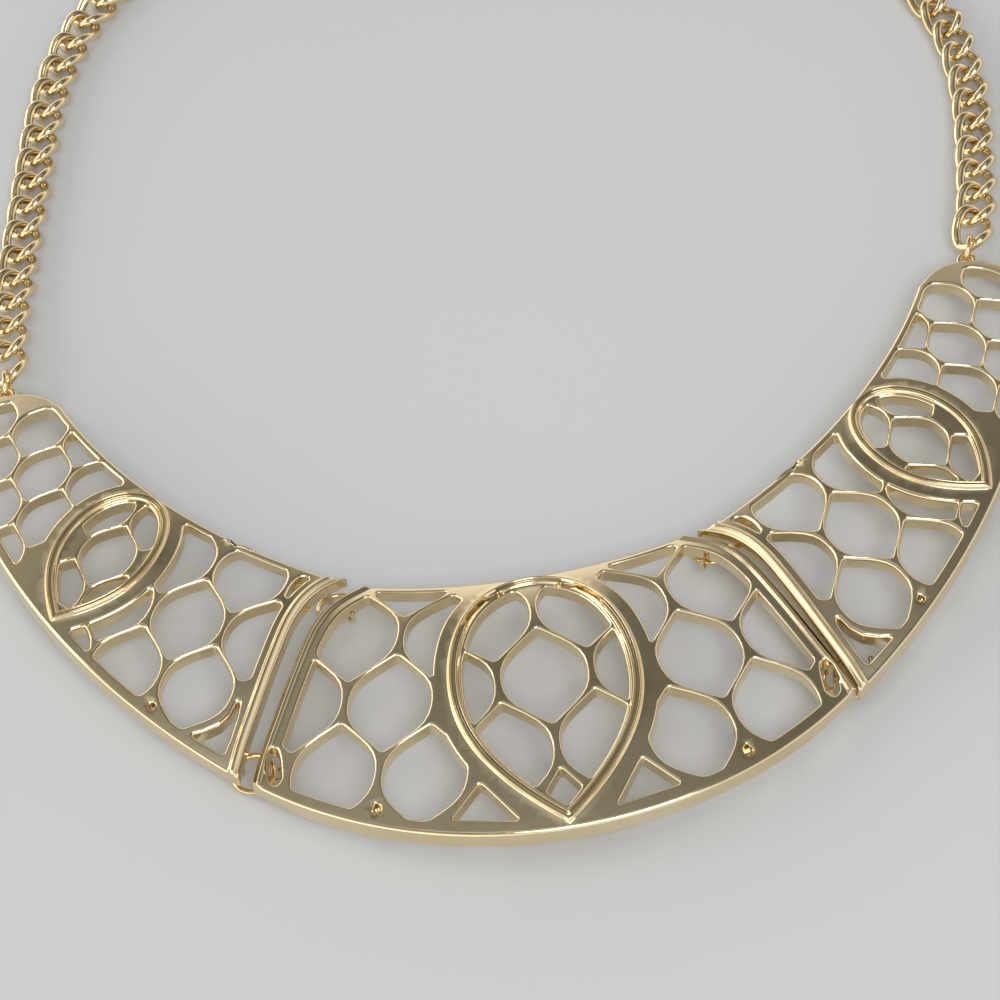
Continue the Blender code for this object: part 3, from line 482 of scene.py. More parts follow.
def steps_along(path, spacing, count, start):
    """Points and directions at equal steps along a polyline."""
    out = []
    for k in range(count):
        want = start + spacing * k
        for i in range(len(path) - 1):
            size = math.hypot(path[i + 1][0] - path[i][0], path[i + 1][1] - path[i][1])
            if want <= size or i == len(path) - 2:
                dx, dy = (path[i + 1][0] - path[i][0]) / size, (path[i + 1][1] - path[i][1]) / size
                out.append(((path[i][0] + dx * want, path[i][1] + dy * want), (dx, dy)))
                break
            want -= size
    return out


def length_of(path):
    return sum(math.hypot(b[0] - a[0], b[1] - a[1]) for a, b in zip(path, path[1:]))


def heading(direction, at, pitch_up=0.0, roll=0.0):
    """Placement whose X axis follows a direction in the plane."""
    return (Matrix.Translation(Vector(at)) @ Matrix.Rotation(math.atan2(direction[1], direction[0]), 4, "Z")
            @ Matrix.Rotation(-pitch_up, 4, "Y") @ Matrix.Rotation(roll, 4, "X"))


def settling(distance, rise):
    """Height above rest and slope of the chain this far from a raised end."""
    t = min(1.0, distance / CHAIN_FALL)
    return rise * (1.0 - t) ** 2 * (1.0 + 2.0 * t), -6.0 * rise * t * (1.0 - t) / CHAIN_FALL


def to_metres(matrix):
    return Matrix.Scale(MM, 4) @ Matrix.Translation(Vector(FRAME_SHIFT)) @ matrix


# --- camera --------------------------------------------------------------------------------
CAM_ROLL = math.radians(7.61)
CAM_ELEVATION = math.radians(51.95)
CAM_DISTANCE = 489.4           # millimetres, from the point looked at
CAM_AT = (-1.89, -47.18, 3.11)


def make_camera():
    cos_e, sin_e = math.cos(CAM_ELEVATION), math.sin(CAM_ELEVATION)
    right, up = Vector((1.0, 0.0, 0.0)), Vector((0.0, sin_e, cos_e))
    x_axis = right * math.cos(CAM_ROLL) - up * math.sin(CAM_ROLL)
    y_axis = right * math.sin(CAM_ROLL) + up * math.cos(CAM_ROLL)
    z_axis = Vector((0.0, -cos_e, sin_e))
    cam = bpy.data.cameras.new("photo_camera")
    cam.sensor_fit = "HORIZONTAL"
    cam.sensor_width = 36.0
    cam.lens = 116.28
    cam.shift_x, cam.shift_y = -0.00656, -0.00088
    cam.clip_start, cam.clip_end = 0.01, 20.0
    ob = bpy.data.objects.new("photo_camera", cam)
    bpy.context.scene.collection.objects.link(ob)
    at = (Vector(CAM_AT) + z_axis * CAM_DISTANCE) * MM
    ob.matrix_world = Matrix.Translation(at) @ Matrix((x_axis, y_axis, z_axis)).transposed().to_4x4()
    bpy.context.scene.camera = ob


# --- materials -----------------------------------------------------------------------------
def gold(name, deep, light, rough, orange_peel):
    """Polished plating: faint tone drift, polishing haze and a slight cast waviness."""
    mat = bpy.data.materials.new(name)
    mat.use_nodes = True
    nodes, links = mat.node_tree.nodes, mat.node_tree.links
    shader = nodes["Principled BSDF"]
    shader.inputs["Metallic"].default_value = 1.0
    coord = nodes.new("ShaderNodeTexCoord")
    tone = nodes.new("ShaderNodeTexNoise")
    tone.inputs["Scale"].default_value = 70.0
    tone.inputs["Detail"].default_value = 3.0
    links.new(coord.outputs["Object"], tone.inputs["Vector"])
    ramp = nodes.new("ShaderNodeValToRGB")
    ramp.color_ramp.elements[0].position, ramp.color_ramp.elements[1].position = 0.32, 0.70
    ramp.color_ramp.elements[0].color, ramp.color_ramp.elements[1].color = (*deep, 1.0), (*light, 1.0)
    links.new(tone.outputs["Fac"], ramp.inputs["Fac"])
    links.new(ramp.outputs["Color"], shader.inputs["Base Color"])
    haze = nodes.new("ShaderNodeTexNoise")
    haze.inputs["Scale"].default_value = 420.0
    haze.inputs["Detail"].default_value = 4.0
    links.new(coord.outputs["Object"], haze.inputs["Vector"])
    spread = nodes.new("ShaderNodeMapRange")
    spread.inputs["From Min"].default_value, spread.inputs["From Max"].default_value = 0.3, 0.75
    spread.inputs["To Min"].default_value, spread.inputs["To Max"].default_value = rough * 0.75, rough * 1.5
    links.new(haze.outputs["Fac"], spread.inputs["Value"])
    links.new(spread.outputs["Result"], shader.inputs["Roughness"])
    wave = nodes.new("ShaderNodeTexNoise")
    wave.inputs["Scale"].default_value = 260.0
    wave.inputs["Detail"].default_value = 2.0
    links.new(coord.outputs["Object"], wave.inputs["Vector"])
    bump = nodes.new("ShaderNodeBump")
    bump.inputs["Strength"].default_value = orange_peel
    bump.inputs["Distance"].default_value = 0.0003
    links.new(wave.outputs["Fac"], bump.inputs["Height"])
    links.new(bump.outputs["Normal"], shader.inputs["Normal"])
    return mat


# --- the plates, in full detail --------------------------------------------------------------
LATTICE_EDGE = {"centre": 0.46, "side": 0.6}   # rounding of the bars
OUTER_EDGE = 0.62          # rounding of the outline's upper edge
LOWER_EDGE = 0.22
RIDGE_TALL = 0.62
RIDGE_WIDE = {"centre": 1.95, "side": 1.65}
PIT_DEEP = 1.3
LIP_TALL = 0.5             # raised lip along a joint edge
LIP_FROM, LIP_WIDE = 0.25, 1.5


class Field:
    """Distances from many points to the edges of the plan, all at once."""

    def __init__(self, rings):
        starts, ends, kinds = [], [], []
        for kind, ring in enumerate(rings):
            starts += ring
            ends += ring[1:] + ring[:1]
            kinds += [kind] * len(ring)
        self.a, self.b = np.array(starts, float), np.array(ends, float)
        self.kind = np.array(kinds)

    def nearest(self, points):
        """Distance, ring number and nearest point for each point."""
        points = np.asarray(points, float)
        out_d, out_k, out_q = [], [], []
        step = self.b - self.a
        size = (step ** 2).sum(1)
        for first in range(0, len(points), 400):
            p = points[first:first + 400, None, :]
            t = np.clip(((p - self.a) * step).sum(2) / size, 0.0, 1.0)
            q = self.a + step * t[..., None]
            d = ((p - q) ** 2).sum(2)
            best = d.argmin(1)
            rows = np.arange(len(best))
            out_d.append(np.sqrt(d[rows, best]))
            out_k.append(self.kind[best])
            out_q.append(q[rows, best])
        return np.concatenate(out_d), np.concatenate(out_k), np.concatenate(out_q)

    def inside(self, points, kind=None):
        """Even-odd test against one ring, or against all of them together."""
        points = np.asarray(points, float)
        use = np.ones(len(self.a), bool) if kind is None else self.kind == kind
        a, b = self.a[use], self.b[use]
        out = []
        for first in range(0, len(points), 1500):
            x, y = points[first:first + 1500, 0][:, None], points[first:first + 1500, 1][:, None]
            span = (a[:, 1] > y) != (b[:, 1] > y)
            slope = (b[:, 0] - a[:, 0]) / np.where(np.abs(b[:, 1] - a[:, 1]) < 1e-12, 1e-12, b[:, 1] - a[:, 1])
            out.append((span & (x < a[:, 0] + (y - a[:, 1]) * slope)).sum(1) % 2 == 1)
        return np.concatenate(out)


def ring_normals(ring):
    """Unit directions to the right of travel, averaged at each point."""
    p = np.array(ring, float)
    step = np.roll(p, -1, 0) - p
    step /= np.maximum(np.linalg.norm(step, axis=1), 1e-9)[:, None]
    n = np.stack([step[:, 1], -step[:, 0]], 1)
    n = n + np.roll(n, 1, 0)
    return n / np.maximum(np.linalg.norm(n, axis=1), 1e-9)[:, None]


def evenly(ring, spacing):
    """The ring cut again at about equal steps, its sharp corners kept."""
    p = np.array(ring, float)
    out = []
    for i in range(len(p)):
        a, b = p[i], p[(i + 1) % len(p)]
        parts = max(1, int(round(np.linalg.norm(b - a) / spacing)))
        out += [tuple(a + (b - a) * k / parts) for k in range(parts)]
    return tidy(out, spacing * 0.35)


def smooth_steps(x):
    x = np.clip(x, 0.0, 1.0)
    return x * x * (3.0 - 2.0 * x)


def detailed_plate(outline, holes, tear, kind, face, joints, inward, pits, flip):
    """One closed mesh: rounded edges, double teardrop ridge, blind recesses, domed face."""
    outline = outline if area(outline) > 0.0 else list(reversed(outline))
    holes = [hole if area(hole) < 0.0 else list(reversed(hole)) for hole in holes]
    rings = [outline] + holes
    edges_field = Field(rings)
    ridge_ring = teardrop(**tear, inset=0.0, count=160)
    ridge_field = Field([ridge_ring])
    pit_fields = [Field([pit]) for pit in pits]
    wide = RIDGE_WIDE[kind]
    joint_field = Field([fine + fine[-2:0:-1] for fine in joints])

    def heights(points):
        """Upper face, before its edges are rounded."""
        z = np.array([face(x, y) for x, y in points])
        d, _, _ = ridge_field.nearest(points)
        t = np.where(ridge_field.inside(points), d / wide, -1.0)
        crest = np.sin(np.clip(t, 0.0, 1.0) * 2.0 * math.pi) ** 2
        z = z + RIDGE_TALL * np.where(t < 0.0, 0.0, crest * np.where(t < 0.5, 1.0, 0.8) + 0.12 * np.sin(np.clip(t, 0.0, 1.0) * math.pi))
        t = (joint_field.nearest(points)[0] - LIP_FROM) / LIP_WIDE
        z = z + LIP_TALL * np.sin(np.clip(t, 0.0, 1.0) * math.pi) ** 2
        for pit_field in pit_fields:
            d, _, _ = pit_field.nearest(points)
            z = z - PIT_DEEP * np.where(pit_field.inside(points), smooth_steps(d / 0.45), 0.0)
        return z

    # constrained lines: the edges, their roundings, the ridge and the recesses
    lines = []
    for k, ring in enumerate(rings):
        radius = OUTER_EDGE if k == 0 else LATTICE_EDGE[kind]
        normal = ring_normals(ring)
        base = np.array(ring, float)
        lines.append(base)
        for angle in (30.0, 55.0, 90.0):
            lines.append(base - normal * radius * (1.0 - math.cos(math.radians(angle))))
    for k in range(13):
        lines.append(np.array(teardrop(**tear, inset=wide * k / 12.0, count=110), float))
    for pit in pits:
        lines.append(np.array(pit, float))
        normal = ring_normals(pit if area(pit) > 0.0 else list(reversed(pit)))
        base = np.array(pit if area(pit) > 0.0 else list(reversed(pit)), float)
        for inset in (0.2, 0.42):
            lines.append(base - normal * inset)
    open_lines = []
    for line, sign in zip(joints, inward):
        for k in range(9):
            open_lines.append(offset_line(line, sign * (LIP_FROM + LIP_WIDE * k / 8.0)))
    low, high = np.min(lines[0], 0), np.max(lines[0], 0)
    grid = np.stack(np.meshgrid(np.arange(low[0], high[0], 1.15), np.arange(low[1], high[1], 1.15)), -1).reshape(-1, 2)
    grid[::2, 1] += 0.2
    d, near, _ = edges_field.nearest(grid)
    d_ridge, _, _ = ridge_field.nearest(grid)
    keep = edges_field.inside(grid) & (d > 0.75) & ~((d_ridge < wide + 0.3) & ridge_field.inside(grid)) & (d_ridge > 0.35)
    keep &= joint_field.nearest(grid)[0] > LIP_FROM + LIP_WIDE + 0.3
    grid = grid[keep]

    points, segments = [], []
    for line in lines:
        first = len(points)
        points += [Vector(p) for p in line]
        segments += [(first + i, first + (i + 1) % len(line)) for i in range(len(line))]
    for line in open_lines:
        first = len(points)
        points += [Vector(p) for p in line]
        segments += [(first + i, first + i + 1) for i in range(len(line) - 1)]
    points += [Vector(p) for p in grid]
    verts, _, faces, origin, _, _ = geometry.delaunay_2d_cdt(points, segments, [], 0, 1e-6)
    plan = np.array([(v.x, v.y) for v in verts], float)

    tri = np.array([f for f in faces if len(f) == 3], int)
    centre = plan[tri].mean(1)
    tri = tri[edges_field.inside(centre)]
    turn = np.cross(plan[tri[:, 1]] - plan[tri[:, 0]], plan[tri[:, 2]] - plan[tri[:, 0]])
    tri[turn < 0.0] = tri[turn < 0.0][:, ::-1]
    tri = tri[np.abs(turn) > 1e-9]

    # edges of the triangles used once are the border; their direction gives the wall
    pairs = np.concatenate([tri[:, [0, 1]], tri[:, [1, 2]], tri[:, [2, 0]]])
    once = {}
    for a, b in pairs.tolist():
        if (b, a) in once:
            once.pop((b, a))
        else:
            once[(a, b)] = True
    walls = list(once)
    used = np.unique(tri)

    d, near, foot = edges_field.nearest(plan)
    on_edge = np.zeros(len(plan), bool)
    on_edge[list({i for pair in walls for i in pair})] = True
    outward = np.where((d > 1e-5)[:, None], (foot - plan) / np.maximum(d, 1e-9)[:, None], 0.0)
    edge_out = np.zeros((len(plan), 2))
    for a, b in walls:
        step = plan[b] - plan[a]
        n = np.array((step[1], -step[0])) / max(np.linalg.norm(step), 1e-9)
        edge_out[a] += n
        edge_out[b] += n
    edge_out /= np.maximum(np.linalg.norm(edge_out, axis=1), 1e-9)[:, None]
    outward[on_edge] = edge_out[on_edge]
    d = np.where(on_edge, 0.0, d)

    z = heights(plan)
    step = 0.03
    slope_x = (heights(plan + (step, 0.0)) - heights(plan - (step, 0.0))) / (2.0 * step)
    slope_y = (heights(plan + (0.0, step)) - heights(plan - (0.0, step))) / (2.0 * step)
    up = np.stack([-slope_x, -slope_y, np.ones(len(plan))], 1)
    up /= np.linalg.norm(up, axis=1)[:, None]

    def rounding(radius):
        cos = 1.0 - np.minimum(d / radius, 1.0)
        return cos, np.sqrt(np.maximum(0.0, 1.0 - cos * cos))

    radius = np.where(near == 0, OUTER_EDGE, LATTICE_EDGE[kind])
    cos, sin = rounding(radius)
    top_z = z - radius * (1.0 - sin)
    top_n = up * sin[:, None] + np.concatenate([outward * cos[:, None], np.zeros((len(plan), 1))], 1)
    rim_field = Field([outline])
    d_rim, _, _ = rim_field.nearest(plan)
    joint_gap = joint_field.nearest(plan)[0]
    thick = PLATE_THICK + (RIM_THICK - PLATE_THICK) * smooth_steps(1.0 - d_rim / 1.3) * smooth_steps((joint_gap - 6.0) / 2.0)
    base = np.array([face(x, y) for x, y in plan])
    cos, sin = rounding(np.full(len(plan), LOWER_EDGE))
    low_z = base - thick + LOWER_EDGE * (1.0 - sin)
    low_n = np.stack([-slope_x * 0.0, -slope_y * 0.0, -np.ones(len(plan))], 1) * sin[:, None]
    low_n += np.concatenate([outward * cos[:, None], np.zeros((len(plan), 1))], 1)

    index = {int(k): i for i, k in enumerate(used)}
    count = len(used)
    co = np.concatenate([np.column_stack([plan[used], top_z[used]]), np.column_stack([plan[used], low_z[used]])])
    no = np.concatenate([top_n[used], low_n[used]])
    top = [[index[i] for i in t] for t in tri.tolist()]
    faces = top + [[i + count for i in reversed(t)] for t in top]
    for a, b in walls:
        a, b = index[a], index[b]
        faces += [(b, a, a + count), (b, a + count, b + count)]
    if flip:
        co[:, 0] *= -1.0
        no[:, 0] *= -1.0
        faces = [tuple(reversed(f)) for f in faces]
    return co, no, faces


def tube(path, radius, sides, closed, start=0):
    """Vertices, normals and faces of a round wire along a path of vectors."""
    count = len(path)
    co, no, faces = [], [], []
    side = None
    frames = []
    for k in range(count):
        before = path[k - 1] if closed or k > 0 else path[k]
        after = path[(k + 1) % count] if closed or k < count - 1 else path[k]
        along = (after - before).normalized()
        if side is None:
            side = Vector((0.0, 0.0, 1.0)).cross(along)
            if side.length < 0.2:
                side = Vector((1.0, 0.0, 0.0)).cross(along)
        side = (side - along * side.dot(along)).normalized()
        frames.append((along, side.copy()))
    twist = 0.0
    if closed:
        along, first = frames[0]
        last = (frames[-1][1] - along * frames[-1][1].dot(along)).normalized()
        twist = math.atan2(along.dot(last.cross(first)), last.dot(first))
    for k, (along, side) in enumerate(frames):
        up = along.cross(side)
        for j in range(sides):
            a = 2.0 * math.pi * j / sides + twist * k / count
            n = side * math.cos(a) + up * math.sin(a)
            co.append(path[k] + n * radius)
            no.append(n)
    for k in range(count if closed else count - 1):
        a, b = k * sides, ((k + 1) % count) * sides
        for j in range(sides):
            i = (j + 1) % sides
            faces.append((start + a + j, start + a + i, start + b + i, start + b + j))
    if not closed:
        for k, order in ((0, 1), (count - 1, -1)):
            centre = start + len(co)
            co.append(path[k])
            no.append(frames[k][0] * (-1.0 if k == 0 else 1.0))
            for j in range(sides):
                a, b = start + k * sides + j, start + k * sides + (j + 1) % sides
                faces.append((centre, b, a) if order > 0 else (centre, a, b))
    return co, no, faces


def piece(name, parts, matrix, mat, node):
    """A mesh object from (coordinates, normals, faces) parts, standing in for a CAD node."""
    co, no, faces = [], [], []
    for part_co, part_no, part_faces in parts:
        first = len(co)
        co += [Vector(v) for v in part_co]
        no += [Vector(v) for v in part_no]
        faces += [tuple(i + first for i in f) for f in part_faces]
    spin = matrix.to_3x3()
    size = spin.determinant()
    mesh = bpy.data.meshes.new(name)
    mesh.from_pydata([matrix @ v for v in co], [], faces)
    turn = spin.inverted().transposed()
    mesh.materials.append(mat)
    mesh.shade_smooth()
    mesh.normals_split_custom_set_from_vertices([(turn @ n).normalized() for n in no])
    mesh.update()
    ob = bpy.data.objects.new(name, mesh)
    bpy.context.scene.collection.objects.link(ob)
    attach(ob, "root")
    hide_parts(*([node] if isinstance(node, str) else node))
    return ob


def soften(ring, reach):
    """Corners turned into small curves."""
    out = []
    count = len(ring)
    for i in range(count):
        p, a, b = ring[i], ring[i - 1], ring[(i + 1) % count]
        u = (p[0] - a[0], p[1] - a[1])
        v = (b[0] - p[0], b[1] - p[1])
        lu, lv = math.hypot(*u), math.hypot(*v)
        bend = abs(math.atan2(u[0] * v[1] - u[1] * v[0], u[0] * v[0] + u[1] * v[1]))
        if bend < math.radians(28.0):
            out.append(p)
            continue
        ru, rv = min(reach, lu * 0.45), min(reach, lv * 0.45)
        s = (p[0] - u[0] / lu * ru, p[1] - u[1] / lu * ru)
        e = (p[0] + v[0] / lv * rv, p[1] + v[1] / lv * rv)
        for t in (0.0, 0.25, 0.5, 0.75, 1.0):
            out.append(tuple((1 - t) ** 2 * s[d] + 2 * t * (1 - t) * p[d] + t * t * e[d] for d in (0, 1)))
    return out


# blind recesses: hollows in the face that don't go through, plan millimetres
PITS_CENTRE_HALF = [[(3.4, 9.6), (6.6, 8.2), (9.2, 5.4), (10.6, 2.4), (9.8, 5.8), (7.4, 8.9), (4.6, 10.4)],
                    [(26.6, -24.5), (27.35, -23.6), (27.3, -22.7), (26.4, -21.6), (25.6, -22.5), (25.7, -23.7)]]
PITS_SIDE = [[(-15.0, 21.6), (-18.0, 19.2), (-20.4, 18.4), (-18.6, 19.9), (-16.8, 21.6)],
             [(4.4, 28.4), (0.2, 29.9), (-3.6, 28.9), (0.0, 30.5), (3.4, 29.8)],
             [(-2.4, -6.9), (-1.8, -6.0), (-2.3, -5.0), (-3.3, -5.2), (-3.4, -6.2)]]


def build_plates(mat):
    coarse_c, coarse_s = centre_outline(2.0), side_outline(2.0)
    holes_c = [evenly(soften(h, 0.55), 0.6) for h in centre_holes(coarse_c, 0.8, 13)]
    holes_s = [evenly(soften(h, 0.5), 0.55) for h in side_holes(coarse_s, 0.7, 13)]
    outline_c = evenly(soften(centre_outline(0.9), 0.6), 0.8)
    outline_s = evenly(soften(side_outline(0.9), 0.6), 0.8)
    joint = smooth_through(JOINT_KNOTS, 12)
    both = [joint, [(-p, q) for p, q in joint]]
    pits_c = PITS_CENTRE_HALF + [[(-p, q) for p, q in reversed(pit)] for pit in PITS_CENTRE_HALF]
    plates = {}
    plates["centre_plate"] = detailed_plate(outline_c, holes_c, TEAR_CENTRE, "centre", centre_face, both, (1.0, -1.0),
                                            [evenly(soften(p, 0.4), 0.45) for p in pits_c], False)
    for key, flip in (("right_plate", False), ("left_plate", True)):
        plates[key] = detailed_plate(outline_s, holes_s, TEAR_SIDE, "side", side_face, [side_joint(0.5)], (-1.0,),
                                     [evenly(soften(p, 0.4), 0.45) for p in PITS_SIDE], flip)
    return plates


def staple_line(reach, drop, around):
    deep = min(reach, 1.1, drop - 0.2)
    leg = drop - deep
    arch = [Vector((reach * math.cos(a), 0.0, -leg - deep * math.sin(a)))
            for a in (math.pi * k / around for k in range(around + 1))]
    return [Vector((reach, 0.0, 0.9)), Vector((reach, 0.0, 0.2))] + arch + [Vector((-reach, 0.0, 0.2)), Vector((-reach, 0.0, 0.9))]


def moved(part, matrix):
    co, no, faces = part
    spin = matrix.to_3x3()
    return [matrix @ v for v in co], [(spin @ n).normalized() for n in no], faces


def build():
    make_camera()
    plate_mat = gold("champagne_gold_plate", (0.80, 0.655, 0.41), (0.87, 0.745, 0.515), 0.13, 0.10)
    ring_mat = gold("gold_ring", (0.83, 0.62, 0.33), (0.88, 0.70, 0.42), 0.13, 0.05)
    chain_mat = gold("champagne_gold_chain", (0.80, 0.63, 0.37), (0.87, 0.72, 0.47), 0.12, 0.06)
    plates = build_plates(plate_mat)
    extras = {key: [] for key in plates}

    joint_ring = tube(ring_path(RING_OUT, RING_WIRE, 56), RING_WIRE / 2.0, 14, True)
    mean_r = (RING_OUT - RING_WIRE) / 2.0
    edge = smooth_through(JOINT_KNOTS, 4)
    for side, sign in (("right", 1.0), ("left", -1.0)):
        for where, spec in JOINT_RINGS.items():
            (at, along), = steps_along(edge, 1.0, 1, length_of(edge) * spec["share"])
            out = (along[1], -along[0])
            move = LYING_GAP[side] / 2.0 - spec["lean"]
            at = (at[0] + out[0] * move, at[1] + out[1] * move)
            centre = from_plate("centre_plate", sign * at[0], at[1])
            toward = from_plate("centre_plate", sign * (at[0] + out[0]), at[1] + out[1])
            normal = (toward[0] - centre[0], toward[1] - centre[1])

            def back_at(x, y):
                spot = (centre[0] + normal[0] * x - normal[1] * y, centre[1] + normal[1] * x + normal[0] * y)
                return min(face_height(key, spot) for key in ("centre_plate", side + "_plate")) - PLATE_THICK

            rise_x = (back_at(mean_r, 0.0) - back_at(-mean_r, 0.0)) / (2.0 * mean_r)
            rise_y = (back_at(0.0, mean_r) - back_at(0.0, -mean_r)) / (2.0 * mean_r)
            z = min(back_at(x, y) - rise_x * x - rise_y * y
                    for x, y in ((mean_r * math.cos(a), mean_r * math.sin(a)) for a in (math.pi * k / 6.0 for k in range(12))))
            z -= 0.3 + RING_WIRE / 2.0
            for key, reach in (("centre_plate", -mean_r), (side + "_plate", mean_r)):
                spot = (centre[0] + normal[0] * reach, centre[1] + normal[1] * reach)
                back = face_height(key, spot) - PLATE_THICK
                drop = back - z - rise_x * reach + (RING_WIRE + STAPLE_WIRE) / 2.0 + STAPLE_PLAY
                staple = tube(staple_line(spec["reach"], drop, 16), STAPLE_WIRE / 2.0, 10, False)
                extras[key].append(moved(staple, plate_matrix(key).inverted() @ heading(normal, (*spot, back))))
            across = Vector((normal[0], normal[1], rise_x)).normalized()
            along = Vector((-normal[1], normal[0], rise_y))
            along = (along - across * along.dot(across)).normalized()
            turn = Matrix((across, along, across.cross(along))).transposed().to_4x4()
            name = "joint_ring_" + side + "_" + where
            piece("ring_joint_" + side + "_" + where, [joint_ring],
                  to_metres(Matrix.Translation(Vector((*centre, z))) @ turn), ring_mat, name)

    eye = tube(ring_path(2.0 * EYE_R + EYE_WIRE, EYE_WIRE, 36), EYE_WIRE / 2.0, 12, True)
    end_ring = tube(ring_path(END_RING_OUT, END_RING_WIRE, 44), END_RING_WIRE / 2.0, 12, True)
    clasp_ring = tube(ring_path(CLASP_RING_OUT, END_RING_WIRE, 48), END_RING_WIRE / 2.0, 12, True)
    link_half = (LINK_PITCH + LINK_PLAY + LINK_WIRE) / 2.0
    link = tube(link_path(44, LINK_TWIST, link_half), LINK_WIRE / 2.0, 14, True)
    end_c, _ = arc3(*SIDE_END)
    end_r_mean = (END_RING_OUT - END_RING_WIRE) / 2.0
    clasp_r_mean = (CLASP_RING_OUT - END_RING_WIRE) / 2.0
    clasp_half = (CLASP_LONG - CLASP_THICK) / 2.0
    first_gap = 0.1 + end_r_mean * 2.0 - END_RING_WIRE / 2.0 - 0.3 - LINK_WIRE / 2.0
    to_clasp_ring = clasp_r_mean - END_RING_WIRE / 2.0 - 0.3 - LINK_WIRE / 2.0
    ring_to_clasp = clasp_r_mean - END_RING_WIRE / 2.0 - 0.6 - CLASP_THICK / 2.0
    for side, sign, knots in (("right", 1.0, CHAIN_RIGHT), ("left", -1.0, CHAIN_LEFT)):
        key = side + "_plate"
        apex = SIDE_END[1]
        away = (apex[0] - end_c[0], apex[1] - end_c[1])
        size = math.hypot(*away)
        spot = from_plate(key, apex[0] + away[0] / size * EYE_OUT, apex[1] + away[1] / size * EYE_OUT)
        edge_z = face_height(key, from_plate(key, *apex)) - PLATE_THICK / 2.0
        extras[key].append(moved(eye, plate_matrix(key).inverted() @ heading((1.0, 0.0), (*spot, edge_z))))
        path = smooth_through([spot] + knots + [(sign * clasp_half, CLASP_AT[1])], 6)
        (ring_at, ring_dir), = steps_along(path, 1.0, 1, end_r_mean + 0.1)
        piece("ring_end_" + side, [end_ring], to_metres(heading(ring_dir, (*ring_at, edge_z), 0.0, math.pi / 2.0)),
              ring_mat, "end_ring_" + side)
        start = first_gap + link_half
        finish = length_of(path) - ring_to_clasp - to_clasp_ring - link_half
        count = round((finish - start) / LINK_PITCH) + 1
        pitch = (finish - start) / (count - 1)
        run = []
        for k, (at, along) in enumerate(steps_along(path, pitch, count, start)):
            near, slope_near = settling(pitch * k, edge_z - CHAIN_REST)
            far, slope_far = settling(pitch * (count - 1 - k), CHAIN_RAISED - CHAIN_REST)
            place = heading(along, (*at, CHAIN_REST + near + far), math.atan(slope_near - slope_far))
            if k < count - JOINED_LINKS:
                piece("curb_%s_%02d" % (side, k + 1), [link], to_metres(place), chain_mat,
                      "link_%s_%02d" % (side, k + 1))
            else:
                run.append(moved(link, place))
        piece("curb_back_" + side, run, to_metres(Matrix.Identity(4)), chain_mat, "chain_back_" + side)
        (ring_at, ring_dir), = steps_along(path, 1.0, 1, length_of(path) - ring_to_clasp)
        piece("ring_clasp_" + side, [clasp_ring],
              to_metres(heading(ring_dir, (*ring_at, CLASP_RING_OUT / 2.0 + 0.05), 0.0, math.pi / 2.0)),
              ring_mat, "clasp_ring_" + side)

    oval = [Vector((clasp_half * math.cos(a), (CLASP_WIDE - CLASP_THICK) / 2.0 * math.sin(a), 0.2 * math.cos(2.0 * a)))
            for a in (2.0 * math.pi * k / 72 for k in range(72))]
    piece("clasp_oval", [tube(oval, CLASP_THICK / 2.0, 20, True)], to_metres(heading((1.0, 0.0), (*CLASP_AT, CHAIN_RAISED))),
          chain_mat, "clasp")
    for key, part in plates.items():
        piece(key.replace("plate", "panel"), [part] + extras[key], to_metres(plate_matrix(key)), plate_mat, key)


# --- floor and light -------------------------------------------------------------------------
# the room's brightness against the height of the direction, between the horizon and straight up
WORLD_STOPS = ((0.22, (1.05, 1.02, 0.95)), (0.46, (0.52, 0.50, 0.46)), (0.64, (0.235, 0.23, 0.215)),
               (0.82, (0.165, 0.165, 0.155)), (0.92, (0.24, 0.24, 0.235)))


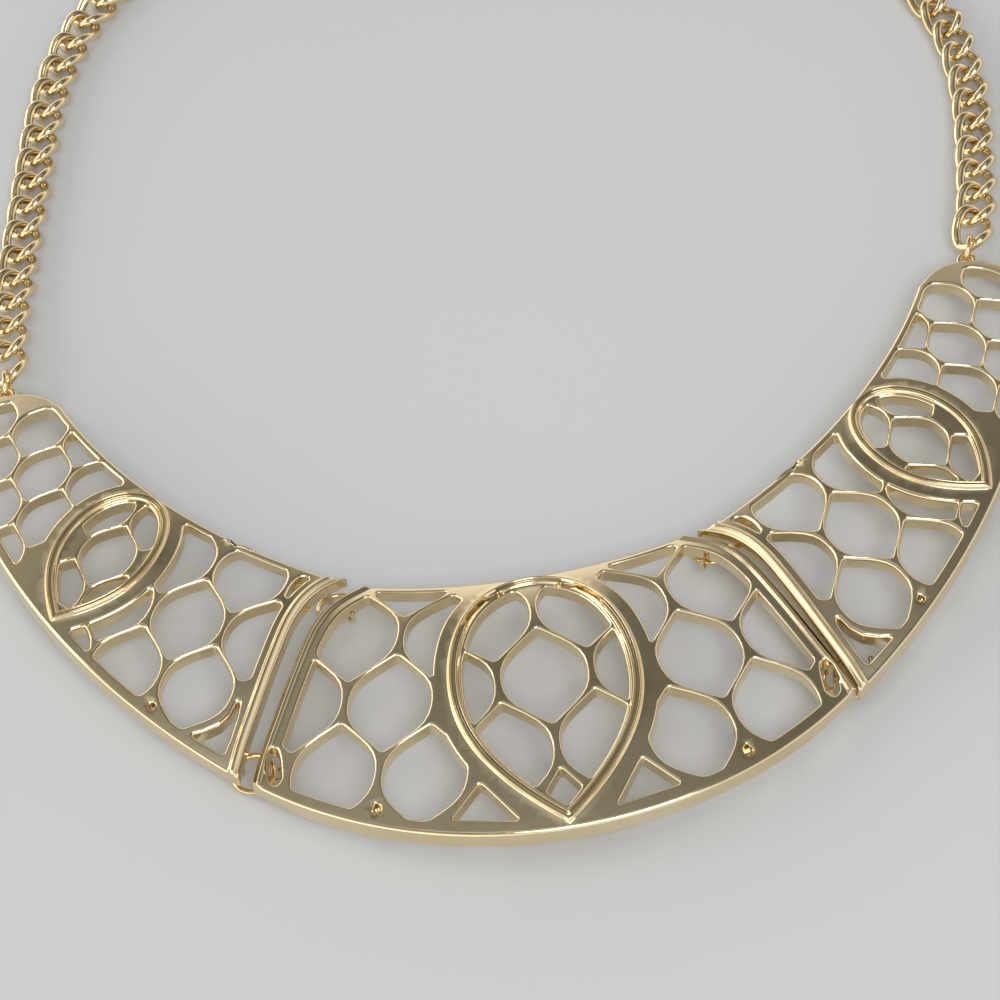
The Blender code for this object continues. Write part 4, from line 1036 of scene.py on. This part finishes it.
def build_stage():
    mesh = bpy.data.meshes.new("floor")
    half = 3.0
    mesh.from_pydata([(-half, -half, 0.0), (half, -half, 0.0), (half, half, 0.0), (-half, half, 0.0)], [], [(0, 1, 2, 3)])
    floor = bpy.data.objects.new("floor", mesh)
    bpy.context.scene.collection.objects.link(floor)
    floor.location.z = -0.00002
    mat = bpy.data.materials.new("pale_board")
    mat.use_nodes = True
    nodes, links = mat.node_tree.nodes, mat.node_tree.links
    shader = nodes["Principled BSDF"]
    coord = nodes.new("ShaderNodeTexCoord")
    grain = nodes.new("ShaderNodeTexNoise")
    grain.inputs["Scale"].default_value = 9.0
    grain.inputs["Detail"].default_value = 5.0
    links.new(coord.outputs["Object"], grain.inputs["Vector"])
    ramp = nodes.new("ShaderNodeValToRGB")
    ramp.color_ramp.elements[0].color = (0.655, 0.672, 0.70, 1.0)
    ramp.color_ramp.elements[1].color = (0.675, 0.69, 0.72, 1.0)
    links.new(grain.outputs["Fac"], ramp.inputs["Fac"])
    links.new(ramp.outputs["Color"], shader.inputs["Base Color"])
    shader.inputs["Roughness"].default_value = 0.62
    mesh.materials.append(mat)

    world = bpy.data.worlds.new("studio")
    bpy.context.scene.world = world
    world.use_nodes = True
    nodes, links = world.node_tree.nodes, world.node_tree.links
    coord = nodes.new("ShaderNodeTexCoord")
    split = nodes.new("ShaderNodeSeparateXYZ")
    links.new(coord.outputs["Generated"], split.inputs["Vector"])
    ramp = nodes.new("ShaderNodeValToRGB")
    ramp.color_ramp.interpolation = "EASE"
    stops = ramp.color_ramp.elements
    stops[0].position, stops[0].color = 0.0, (1.40, 1.36, 1.28, 1.0)
    stops[1].position, stops[1].color = 1.0, (0.55, 0.56, 0.57, 1.0)
    for at, colour in WORLD_STOPS:
        stop = stops.new(at)
        stop.color = (*colour, 1.0)
    links.new(split.outputs["Z"], ramp.inputs["Fac"])
    background = nodes["Background"]
    links.new(ramp.outputs["Color"], background.inputs["Color"])
    # the left side of the room is brighter
    sides = nodes.new("ShaderNodeMapRange")
    sides.interpolation_type = "SMOOTHSTEP"
    sides.inputs["From Min"].default_value, sides.inputs["From Max"].default_value = -0.42, 0.02
    sides.inputs["To Min"].default_value, sides.inputs["To Max"].default_value = 1.72, 0.88
    links.new(split.outputs["X"], sides.inputs["Value"])
    links.new(sides.outputs["Result"], background.inputs["Strength"])

    for name, at, aim, size, power, colour, mirrored in (
            ("overhead_panel", (-0.10, 0.15, 1.25), (0.0, -0.02, 0.0), (1.5, 1.5), 2.3, (1.0, 0.99, 0.975), False),
            ("key_panel", (0.22, -0.95, 1.12), (0.0, -0.03, 0.0), (0.8, 0.6), 7.5, (1.0, 0.995, 0.985), True),
            ("side_panel", (-0.95, 0.25, 0.70), (0.0, -0.05, 0.0), (0.5, 0.35), 1.4, (1.0, 0.98, 0.95), True),
            ("front_panel", (0.35, -1.15, 0.60), (0.0, -0.05, 0.0), (0.9, 0.3), 1.0, (1.0, 0.97, 0.92), True)):
        lamp = bpy.data.lights.new(name, "AREA")
        lamp.shape = "RECTANGLE"
        lamp.size, lamp.size_y = size
        lamp.energy = power
        lamp.color = colour
        ob = bpy.data.objects.new(name, lamp)
        bpy.context.scene.collection.objects.link(ob)
        ob.visible_glossy = mirrored
        ob.location = at
        ob.rotation_euler = (Vector(aim) - Vector(at)).to_track_quat("-Z", "Y").to_euler()


build()
build_stage()
scene = bpy.context.scene
scene.view_settings.view_transform = "Standard"
